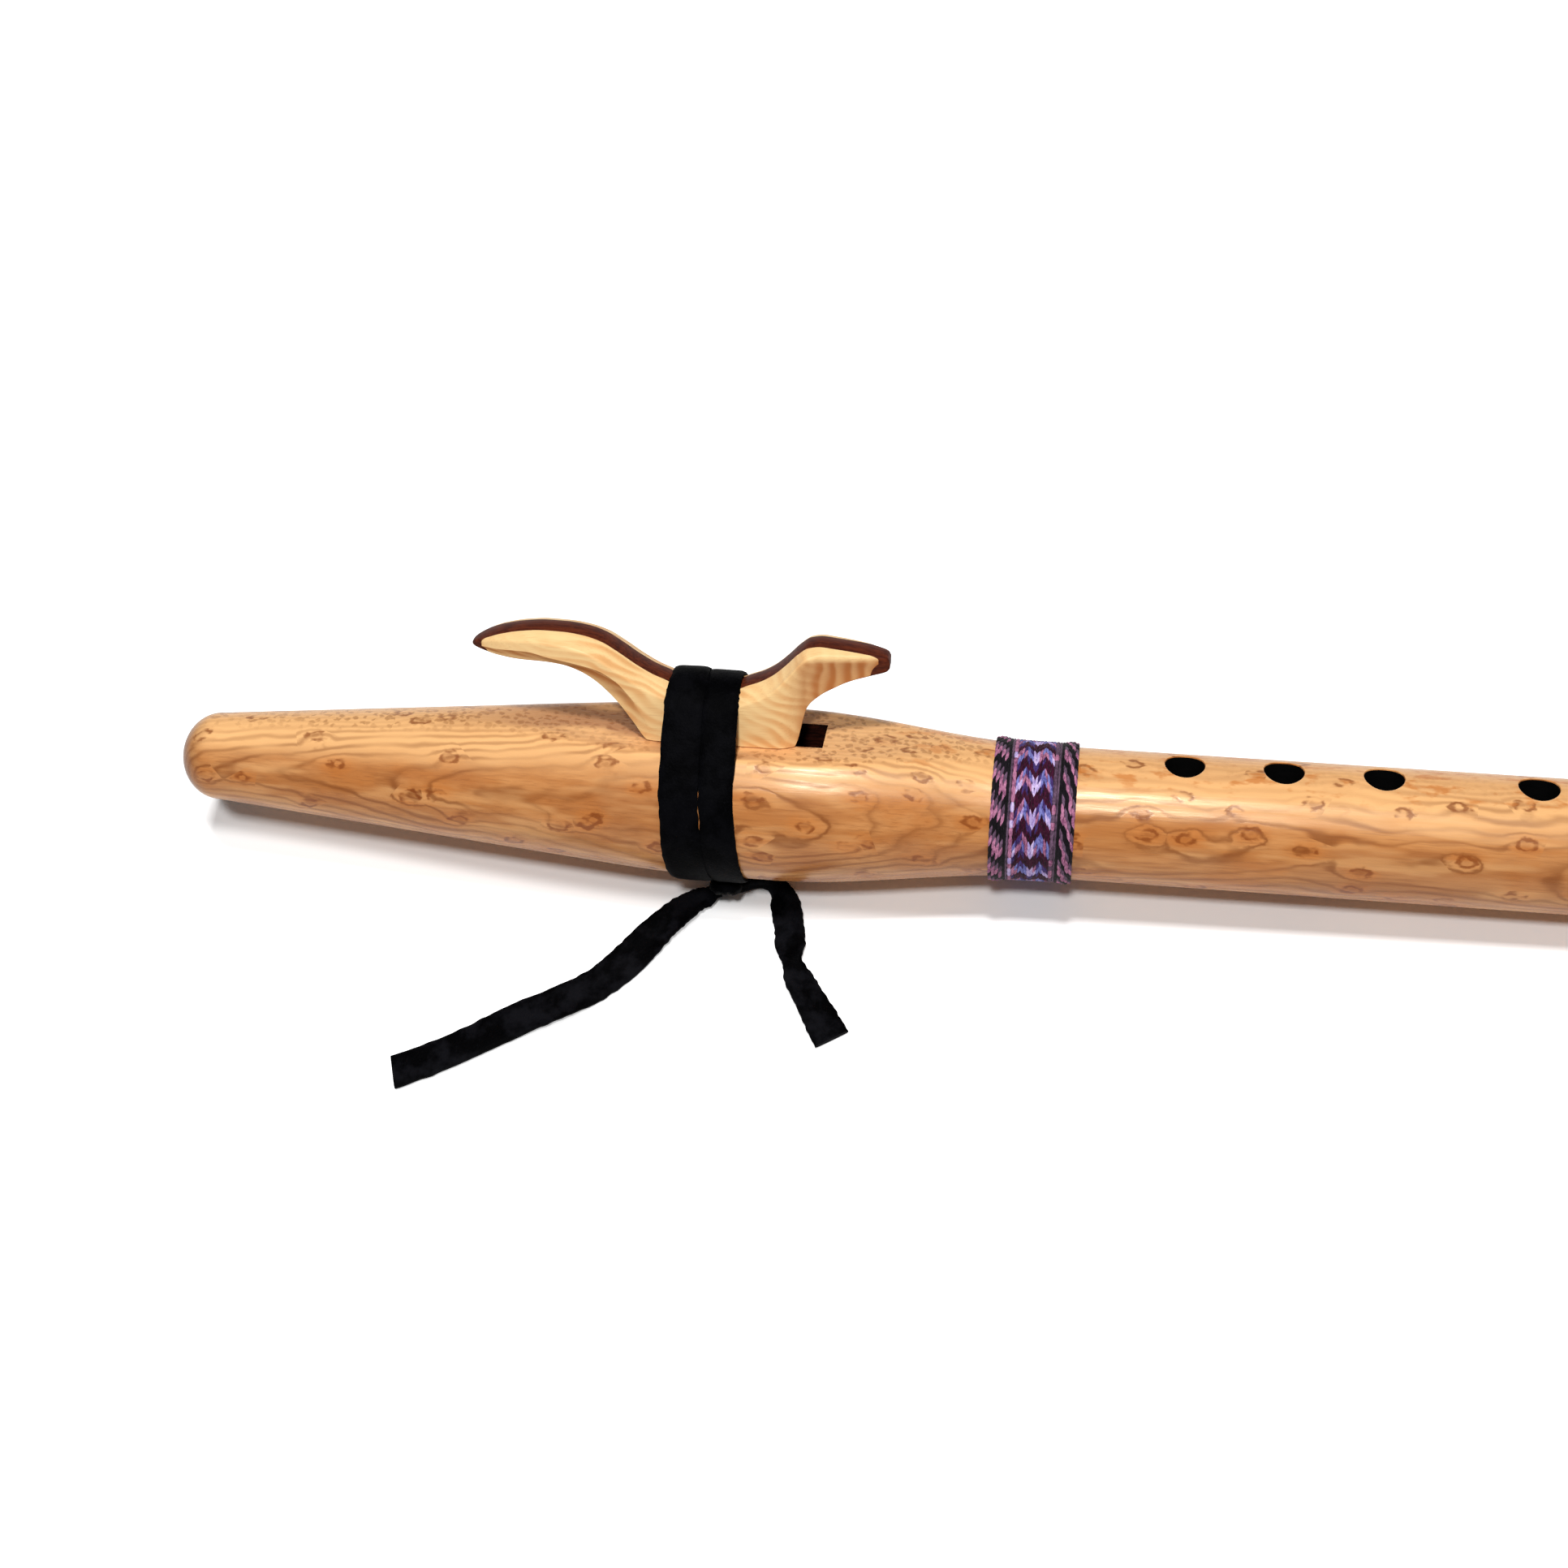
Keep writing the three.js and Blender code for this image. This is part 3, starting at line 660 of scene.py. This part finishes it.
def fingerHoleSkin(place):
    # the rim follows the round of the pipe, eased over the last tenths of a millimetre
    pipe = barrel["pipeRadius"]
    rings = []
    for wider, above in fingerHoles["rings"]:
        ring = []
        for i in range(fingerHoles["sides"]):
            turn = 2 * math.pi * i / fingerHoles["sides"]
            reach = fingerHoles["radius"] + wider
            aside = reach * math.sin(turn)
            height = math.sqrt(pipe ** 2 - aside ** 2) + above if above is not None else fingerHoles["floor"]
            ring.append((place + reach * math.cos(turn), aside, height))
        rings.append(ring)
    return loft(rings)


def slotSkin(start, end, floor):
    half = voice["width"] / 2
    return boxSkin((start, -half, floor), (end, half, barrel["nestRadius"] + spare))


def holePlaces():
    first, spacing, count = fingerHoles["first"], fingerHoles["spacing"], fingerHoles["perHand"]
    second = first + (count - 1) * spacing + fingerHoles["handGap"]
    return [start + i * spacing for start in (first, second) for i in range(count)]


def paintInside(piece):
    # bored faces get the second finish, dark brown, and those of the finger holes the third, near black
    back = fluteSpace.inverted()
    for face in piece.data.polygons:
        x, y, z = back @ face.center
        underSkin = math.hypot(y, z) < radiusAt(x) - barrel["skinDepth"]
        underNest = z < barrel["nestHeight"] - barrel["flatDepth"]
        behindEnds = barrel["mouthDepth"] < x < barrel["length"] - barrel["footDepth"]
        if underSkin and underNest and behindEnds:
            inHole = x > barrel["pipeStart"] and z > bore["chamberRadius"] / 2
            face.material_index = 2 if inHole else 1


def makeBarrel():
    finishes = [oiledMaple, boredWood, holeWallBlack]
    whole = addPiece("barrelWhole", barrelSkin(), finishes)
    cut(whole, boreSkin())
    exitStart, windowStart = voice["exitStart"], voice["windowStart"]
    flue = barrel["nestHeight"] - voice["flueDepth"]
    cut(whole, slotSkin(exitStart, windowStart + voice["overlap"], flue))
    cut(whole, joined([slotSkin(exitStart, exitStart + voice["exitLength"], 0),
                       slotSkin(windowStart, windowStart + voice["windowLength"], 0)]))
    cut(whole, joined([fingerHoleSkin(place) for place in holePlaces()]))
    reach = barrel["nestRadius"] + spare
    halves = (("barrelTop", 1, "barrel_upper_half"), ("barrelBottom", -1, "barrel_lower_half"))
    for name, side, node in halves:
        half = whole.copy()
        half.data = whole.data.copy()
        half.name = name
        bpy.context.scene.collection.objects.link(half)
        low, high = sorted((side * barrel["glueLine"] / 2, side * reach))
        cut(half, boxSkin((-spare, -reach, low), (barrel["length"] + spare, reach, high)), "INTERSECT")
        dress(half, finishes)
        paintInside(half)
        smooth(half, barrel["sharpFrom"])
        hand(half, "flute", "maple", node)
    bpy.data.objects.remove(whole)


makeBarrel()
dress(frame["nodes"]["chamber_plug"], [oiledMaple])
print("barrel made")


# Block

bird = {
    # heights and half widths at places along the flute
    "crest": [
        (74.5, 36.5), (75.1, 37.1), (76.2, 37.8), (78.6, 39), (82, 40.2), (86.5, 41.2), (91.5, 41.7),
        (96.5, 41.6), (101, 41), (105, 39.7), (109, 37.2), (113, 34.3), (117, 31.9), (119.8, 30.7),
        (121.4, 29.9), (124, 29.5), (129.5, 29.4), (135, 29.45), (137, 29.7), (138.4, 30.4), (141.5, 31.7),
        (144.5, 33.6), (147.5, 36.4), (150.2, 39.3), (152.6, 41.1), (155.3, 41.6), (158.5, 41.3),
        (162, 40.9), (166, 40.3), (169.2, 39.6), (170.4, 39.1), (170.9, 38.3)],
    "belly": [
        (74.5, 35.7), (75.1, 35.4), (77.2, 35), (81, 34.4), (86, 33.8), (91, 33.5), (96, 32.8), (100, 31.5),
        (103.4, 29.6), (106.6, 26.9), (109.6, 23.6), (112.6, 20), (115.4, 16.6), (115.7, 16.45),
        (149.6, 16.45), (149.9, 16.7), (152.4, 26.2), (153.4, 27.7), (154.4, 28.6), (156.2, 30),
        (158.5, 31.3), (161, 32.6), (163.6, 33.6), (166.5, 34.4), (169, 35), (170.4, 35.5), (170.9, 36.1)],
    "halfWidth": [
        (74.5, 1), (75.4, 1.7), (77.4, 2.8), (81, 4.3), (86, 5.4), (91, 6), (96, 6.5), (101, 6.9),
        (107, 7.3), (145.5, 7.3), (148.5, 6.9), (151.5, 6.1), (155, 5.3), (158.5, 4.8), (162, 4.2),
        (165.5, 3.5), (168.2, 2.7), (170, 2.3), (170.9, 1.8)],
    "ridge": [
        (74.5, 36), (80, 36.6), (88, 37.2), (93.4, 36.3), (99, 35.5), (104.7, 34.3), (108.9, 31.8),
        (111.5, 28.8), (114.4, 24.6), (117.5, 19), (119.5, 17.2), (144.8, 17.2), (146.2, 27), (147.6, 34.5),
        (150, 37.9), (154, 39), (158.5, 39), (163, 38.6), (167, 38), (170.9, 37.3)],
    "tuckShare": [
        (74.5, 0.9), (88, 0.62), (97, 0.5), (108, 0.62), (116, 0.96), (118, 1), (146, 1), (149.6, 0.9),
        (153, 0.8), (160, 0.76), (165.5, 0.82), (168, 0.86), (170.9, 0.9)],
    "footing": (115, 153),  # between these the belly's own places are stations too, to keep its corners
    "core": 5.26, "crown": 10, "edge": 0.9, "tall": 52.6, "glueLine": 0.02, "stations": 230,
    "crownCells": 8, "edgeCells": 4, "sideCells": 5, "sharpFrom": 28,
}


def birdRing(x, lines):
    # a rounded crown, an eased edge, a side down to the ridge, and the undercut from there to the belly
    crest, belly, half, ridge, tuck = (line(x) for line in lines)
    height = crest - belly
    edge = min(bird["edge"], 0.22 * height, 0.3 * half)
    inner = half - edge

    def crownAt(y):
        return crest - min(bird["crown"] - math.sqrt(bird["crown"] ** 2 - y * y), 0.42 * height)
    count = bird["crownCells"]
    side = [(inner * i / count, crownAt(inner * i / count)) for i in range(count + 1)]
    shoulder = crownAt(inner)
    for i in range(1, bird["edgeCells"] + 1):
        turn = math.pi / 2 * i / bird["edgeCells"]
        side.append((inner + edge * math.sin(turn), shoulder - edge * (1 - math.cos(turn))))
    top = shoulder - edge
    ridge = min(max(ridge, belly + 0.12 * height), top - 0.05 * height)
    count = bird["sideCells"]
    for i in range(1, count + 1):
        side.append((half, top + (ridge - top) * i / count))
    low = min(0.3, 0.1 * height)
    for i in range(1, count + 1):
        share = i / count
        hollow = 0.25 * half * (1 - tuck) * math.sin(math.pi * share)
        side.append((half + (tuck * half - half) * share - hollow, ridge + (belly + low - ridge) * share))
    side.append((max(tuck * half - low, 0.3 * half), belly))
    side.append((tuck * half * 0.4, belly))
    return [(x, y, z) for y, z in side] + [(x, -y, z) for y, z in side[:0:-1]]


def makeBird():
    lines = [smoothLine(bird[name]) for name in ("crest", "belly", "halfWidth", "ridge", "tuckShare")]
    first, last = bird["crest"][0][0], bird["crest"][-1][0]
    places = {first + (last - first) * (1 - math.cos(math.pi * i / bird["stations"])) / 2
              for i in range(bird["stations"] + 1)}
    footStart, footEnd = bird["footing"]
    places |= {place for place, height in bird["belly"] if footStart < place < footEnd}
    skin = loft([birdRing(x, lines) for x in sorted(places)])
    face = bird["core"] / 2
    reach = bird["crown"]
    slabs = (
        ("birdFront", -reach, -face - bird["glueLine"], paleAsh, "pale_wood", "block_front_lamina"),
        ("birdCore", -face, face, darkRed, "dark_wood", "block_core_lamina"),
        ("birdBack", face + bird["glueLine"], reach, paleAsh, "pale_wood", "block_rear_lamina"),
    )
    for name, low, high, finish, slot, node in slabs:
        piece = addPiece(name, skin, [finish])
        cut(piece, boxSkin((first - spare, low, 0), (last + spare, high, bird["tall"])), "INTERSECT")
        dress(piece, [finish])
        smooth(piece, bird["sharpFrom"])
        hand(piece, "block", slot, node)


makeBird()
print("block made")


# Lace round the nest and the block

lace = {
    "thickness": 1.1, "underside": 0.12, "saddle": 29.7, "crown": 9.9, "knotAngle": 163.5, "sweep": 707,
    "stepDegrees": 2.5, "bridgeSteps": 10, "cells": 10, "rag": 0.24, "swell": 0.07, "edgeThinned": 0.4,
    "edgeTurnedIn": 0.1, "onTable": 0.05,
    # turns so far, place along the flute, width, lift over the loop below
    "route": [
        (0, 135.7, 7.7, 0), (0.1, 134.8, 7.9, 0), (0.18, 134.1, 8.3, 0), (0.24, 133.75, 7.8, 0),
        (0.28, 133.3, 7.9, 0), (0.32, 133, 8.4, 0), (0.45, 132.7, 8.5, 0), (0.62, 132.9, 8.4, 0),
        (0.8, 131.2, 8.4, 0), (1, 127.1, 9.5, 0), (1.1, 126.1, 9.4, 0.15), (1.18, 125.5, 9.3, 0.2),
        (1.24, 125.1, 8.9, 0.1), (1.29, 124.65, 9, 0.3), (1.34, 124.8, 9, 0.45), (1.4, 125, 8.8, 0.5),
        (1.46, 125.1, 8.4, 0.6), (1.55, 124.8, 8.2, 0.4), (1.62, 124.6, 8.3, 0), (1.78, 126.5, 8.2, 1.5),
        (1.97, 130.8, 8, 2.5)],
}


def wrapAt(angle, onCrown):
    # the underside of the lace on the block's crown or on the barrel
    centre = lace["saddle"] - lace["crown"] if onCrown else 0
    radius = (lace["crown"] if onCrown else barrel["nestRadius"]) + lace["underside"]
    return Vector((0, -radius * math.sin(angle), centre + radius * math.cos(angle)))


def wrapStations():
    # the lace runs straight between the block's crown and the round of the nest
    rise = lace["saddle"] - lace["crown"]
    leave = math.pi / 2 - math.asin((barrel["nestRadius"] - lace["crown"]) / rise)
    count = round(lace["sweep"] / lace["stepDegrees"])
    stations = []
    before = False
    for i in range(count + 1):
        angle = math.radians(lace["knotAngle"] - lace["sweep"] * i / count)
        folded = (angle + math.pi) % (2 * math.pi) - math.pi
        onCrown = abs(folded) < leave
        if onCrown != before:
            edge = math.copysign(leave, folded)
            for k in range(1, lace["bridgeSteps"]):
                share = k / lace["bridgeSteps"]
                point = wrapAt(edge, before).lerp(wrapAt(edge, onCrown), share)
                stations.append((angle, point, edge))
        stations.append((angle, wrapAt(angle, onCrown), angle))
        before = onCrown
    return stations


def straightLine(points):
    # straight from point to point, so that the lace kinks where it leaves the barrel
    def heightAt(place):
        for (low, below), (high, above) in zip(points, points[1:]):
            if place <= high:
                break
        return below + (above - below) * (place - low) / (high - low)
    return heightAt


def makeWrap():
    turnsAt, *columns = zip(*lace["route"])
    places, widths, lifts = (list(zip(turnsAt, column)) for column in columns)
    placeAt, widthAt, liftAt = straightLine(places), smoothLine(widths), smoothLine(lifts)
    start = math.radians(lace["knotAngle"])
    rings = []
    for k, (angle, point, facing) in enumerate(wrapStations()):
        turns = (start - angle) / (2 * math.pi)
        outward = Vector((0, -math.sin(facing), math.cos(facing)))
        centre = Vector((placeAt(turns), point.y, point.z)) + outward * liftAt(turns)
        ring = []
        for top in (True, False):
            for i in range(lace["cells"] + 1):
                across = (2 * i / lace["cells"] - 1) * (1 if top else -1)
                rag = lace["rag"] * roughly(5 + (across > 0), k * 0.5) * abs(across) ** 6
                if top:
                    height = lace["thickness"] * (1 - lace["edgeThinned"] * abs(across) ** 6)
                    height += lace["swell"] * roughly(11, turns * 30, across * 2)
                else:
                    height = lace["edgeTurnedIn"] * abs(across) ** 8
                reach = across * (widthAt(turns) / 2 + rag)
                ring.append(centre + Vector((reach, 0, 0)) + outward * height)
        rings.append(ring)
    piece = addPiece("laceWrap", loft(rings), [blackSuede])
    for vertex in piece.data.vertices:
        vertex.co.z = max(vertex.co.z, lace["onTable"] * mm)
    smooth(piece, 50)
    hand(piece, "block", "leather", "lace_winding")


knot = {
    "place": 133.2, "length": 7.6, "width": 10.4, "thickness": 4.2, "height": 23.4, "rings": 32, "sides": 44,
    "pleats": 0.1, "crease": 0.14, "lumps": 0.04, "waist": 0.25,
}


def makeKnot():
    # the lace pinched in pleats where one end is pulled through under the other
    rings = []
    angle = math.radians(lace["knotAngle"])
    for k in range(knot["rings"]):
        polar = math.pi * (k + 0.5) / knot["rings"]
        x = math.copysign(abs(math.cos(polar)) ** 0.7, math.cos(polar))
        around = math.sin(polar) ** 0.8
        ring = []
        for i in range(knot["sides"]):
            turn = 2 * math.pi * i / knot["sides"]
            y, z = around * math.cos(turn), around * math.sin(turn)
            pleat = knot["pleats"] * math.cos(11 * x + 3 * y) * max(z, 0)
            crease = knot["crease"] * math.exp(-((x - 0.35 * y) / 0.13) ** 2) * max(z, 0)
            size = 1 - (pleat + crease) + knot["lumps"] * roughly(4, x * 3, y * 3)
            waist = 1 - knot["waist"] * max(-y, 0)
            point = Vector((x * waist * knot["length"], y * knot["width"], z * knot["thickness"])) * size / 2
            point.z += knot["height"]
            ring.append(Matrix.Rotation(angle, 3, "X") @ point + Vector((knot["place"], 0, 0)))
        rings.append(ring)
    piece = addPiece("laceKnot", loft(rings), [blackSuede])
    smooth(piece, 60)
    hand(piece, "block", "leather", "lace_knot")


makeWrap()
makeKnot()
print("lace tied")


# Woven band

band = {
    "start": 195.3, "width": 19, "base": 0.7, "selvedge": 0.3, "selvedgeWidth": 3.2, "stitches": 52,
    "height": 0.55, "overlap": 1.75, "zigzagHalf": 3, "edgeSlant": 0.9, "unevenness": 0.035,
    "sides": 144, "groundCells": 30, "stitchRings": 8, "stitchSides": 8,
    # from the mouth side: kind, how many yarns, and their width together where it is fixed
    "yarns": [
        ("edgeLeft", 4, 3.2), ("black", 1, 0.65), ("grey", 1, 0.55), ("ladder", 1, 0.95),
        ("zigzag", 12, None), ("mist", 1, 0.95), ("grey", 1, 0.5), ("black", 1, 0.65),
        ("edgeRight", 4, 3.2)],
}


def bandHeight(x):
    # the woven edges stand a little prouder than the middle
    fromEdge = min(x - band["start"], band["start"] + band["width"] - x)
    ridge = math.sin(math.pi * min(max(fromEdge / band["selvedgeWidth"], 0), 1)) * band["selvedge"]
    return band["base"] * (0.4 + 0.6 * math.sqrt(min(max(fromEdge, 0) / 0.6, 1))) + ridge


def bandGroundSkin():
    start, end = band["start"], band["start"] + band["width"]
    places = [start + band["width"] * i / band["groundCells"] for i in range(band["groundCells"] + 1)]
    outline = [(x, radiusAt(x) + bandHeight(x)) for x in places]
    outline += [(x, radiusAt(x) + 0.05) for x in (end, start)]
    rings = []
    for i in range(band["sides"]):
        turn = 2 * math.pi * i / band["sides"]
        rings.append([(x, radius * math.sin(turn), radius * math.cos(turn)) for x, radius in outline])
    # the last ring of faces joins the first ring of points
    points, faces = loft(rings + rings[:1], capped=False)
    total = len(outline) * band["sides"]
    return points[:total], [tuple(i % total for i in face) for face in faces]


def bandColumns():
    # each column of stitches: its middle, its width, its kind and its number within the kind
    columns = []
    x = band["start"]
    known = sum(width or 0 for kind, count, width in band["yarns"])
    for kind, count, width in band["yarns"]:
        pitch = (width or band["width"] - known) / count
        for i in range(count):
            columns.append((x + pitch * (i + 0.5), pitch, kind, i))
        x += pitch * count
    return columns


def zigzagAt(column):
    # stitches that a zigzag column is shifted by, lowest in the middle
    away = abs(column - 5.5)
    return min(away, 2 * band["zigzagHalf"] - away)


def zigzagYarn(column, beat, luck):
    # two dark rows, then two mixed ones that are pale in the middle
    if beat < 2:
        return "maroon" if beat == 0 or luck > -0.12 else "indigo"
    if 5 <= column <= 6:
        return "lilac"
    if beat == 2:
        return "lilac" if luck > 0.2 else "blue" if luck > -0.1 else "pink"
    return "blue" if luck > 0.05 else "indigo" if luck > -0.2 else "pink"


def yarnOf(kind, column, row):
    luck = roughly(column * 3.7 + 1, row * 1.37, 0.5)
    if kind == "zigzag":
        return zigzagYarn(column, row % 4, luck)
    if kind == "ladder":
        return "pink" if luck > -0.25 else "lilac"
    if kind == "mist":
        return "grey" if luck > -0.25 else "pink"
    if kind in ("edgeLeft", "edgeRight"):
        return ("pink", "grey", "black", "black" if luck > 0 else "pink")[(row + column) % 4]
    return kind


def stitchSkin(x, pitch, around, length, slant):
    # one float of yarn, pointed at both ends, lying on the band
    rings = []
    base = radiusAt(x) + bandHeight(x)
    for k in range(band["stitchRings"] + 1):
        share = k / band["stitchRings"]
        full = max(math.sin(math.pi * share), 0.02) ** 0.55
        angle = around + length * (share - 0.5) / base
        ring = []
        for i in range(band["stitchSides"]):
            turn = 2 * math.pi * i / band["stitchSides"]
            across = x + slant * (share - 0.5) * pitch + math.cos(turn) * pitch * 0.5 * full
            out = base + math.sin(turn) * band["height"] / 2 * full
            ring.append((across, out * math.sin(angle), out * math.cos(angle)))
        rings.append(ring)
    return loft(rings)


def makeBand():
    ground = addPiece("bandGround", bandGroundSkin(), [yarns["black"]])
    smooth(ground, 50)
    hand(ground, "flute", "weave", "woven_band")
    names = list(yarns)
    skins, finishOf = [], []
    rowAngle = 2 * math.pi / band["stitches"]
    shifts = {
        "zigzag": zigzagAt,
        "edgeLeft": lambda column: column * band["edgeSlant"],
        "edgeRight": lambda column: -column * band["edgeSlant"],
    }
    for x, pitch, kind, column in bandColumns():
        shiftAt = shifts.get(kind, lambda column: 0)
        slant = 0.7 * (shiftAt(column + 0.5) - shiftAt(column - 0.5))
        length = rowAngle * (radiusAt(x) + band["base"]) * band["overlap"]
        for row in range(band["stitches"]):
            around = (row + shiftAt(column) * 0.5) * rowAngle
            around += band["unevenness"] * roughly(2, column * 1.7, row * 0.7)
            skin = stitchSkin(x, pitch, around, length, slant)
            skins.append(skin)
            finishOf += [names.index(yarnOf(kind, column, row))] * len(skin[1])
    stitches = addPiece("bandStitches", joined(skins), list(yarns.values()))
    stitches.data.polygons.foreach_set("material_index", finishOf)
    smooth(stitches, 60)
    hand(stitches, "flute", "weave")


makeBand()
print("band woven")


# Floor and light

studio = {
    "floorSize": 6, "floorGrey": 0.85, "floorRoughness": 0.9, "floorGloss": 0.1, "sky": 0.1, "outsideGlow": 0.46,
    # the strip in metres where the painted light on the paper leaves the flute's shadow: its front edge and how far
    # that bends back towards the mouth, where it bends, how soft its edges are, and where it ends; then where the
    # floor grows white far away
    "edgeNear": -0.0175, "edgeBend": 0.0145, "bendsOver": (-0.25, -0.08), "frontSoft": 0.005,
    "rearSoft": (0.005, 0.02), "stripEnd": (0.24, 0.3), "farSquared": (0.3, 3),
    "lamps": {
        "rearLight": {"place": (0, 0.12, 2), "size": 0.2, "power": 23.6},
        "frontLight": {"place": (0, -0.6, 1.9), "size": 0.2, "power": 17.6},
    },
}


def shownWhite(tree, plain):
    # plain for the light that the flute gets, 1 where the camera sees the surface itself
    path = tree.nodes.new("ShaderNodeLightPath")
    return Wire(tree, path.outputs["Is Camera Ray"]) * (1 - plain) + plain


def makeStudio():
    size = studio["floorSize"] / 2
    skin = [(-size, -size, 0), (size, -size, 0), (size, size, 0), (-size, size, 0)], [(0, 1, 2, 3)]
    paper = bpy.data.materials.new("paper")
    paper.use_nodes = True
    shader = paper.node_tree.nodes["Principled BSDF"]
    shader.inputs["Roughness"].default_value = studio["floorRoughness"]
    shader.inputs["Specular IOR Level"].default_value = studio["floorGloss"]
    grey = shownWhite(paper.node_tree, studio["floorGrey"])
    paper.node_tree.links.new(grey.socket, shader.inputs["Base Color"])
    # painted light: a glow seen only by the camera whitens the paper and washes out the flute's shadows on it, but
    # for a strip in front of the flute whose edge is bent back towards the mouth
    corner = paper.node_tree.nodes.new("ShaderNodeTexCoord")
    x, y, z = Wire(paper.node_tree, corner.outputs["Object"]).split()
    edge = (1 - x.rise(*studio["bendsOver"])) * studio["edgeBend"] + studio["edgeNear"]
    outside = (edge - y).rise(0, studio["frontSoft"]).math("MAXIMUM", y.rise(*studio["rearSoft"]))
    outside = outside.math("MAXIMUM", x.math("ABSOLUTE").rise(*studio["stripEnd"]))
    far = (x * x + y * y).rise(*studio["farSquared"])
    glow = shownWhite(paper.node_tree, 0) * (outside * studio["outsideGlow"] + far * (1 - studio["outsideGlow"]))
    paper.node_tree.links.new(glow.socket, shader.inputs["Emission Color"])
    shader.inputs["Emission Strength"].default_value = 1
    floor = addPiece("floor", skin, [paper], Matrix.Identity(4))
    world = bpy.data.worlds.new("studio")
    bpy.context.scene.world = world
    world.use_nodes = True
    background = world.node_tree.nodes["Background"]
    background.inputs["Color"].default_value = (1, 1, 1, 1)
    strength = shownWhite(world.node_tree, studio["sky"])
    world.node_tree.links.new(strength.socket, background.inputs["Strength"])
    for name, lamp in studio["lamps"].items():
        panel = bpy.data.lights.new(name, "AREA")
        panel.size = lamp["size"]
        panel.energy = lamp["power"]
        holder = bpy.data.objects.new(name, panel)
        bpy.context.scene.collection.objects.link(holder)
        holder.location = lamp["place"]
        holder.rotation_euler = (-holder.location).to_track_quat("-Z", "Y").to_euler()
    bpy.context.scene.view_settings.view_transform = "Standard"


makeStudio()
print("studio lit")
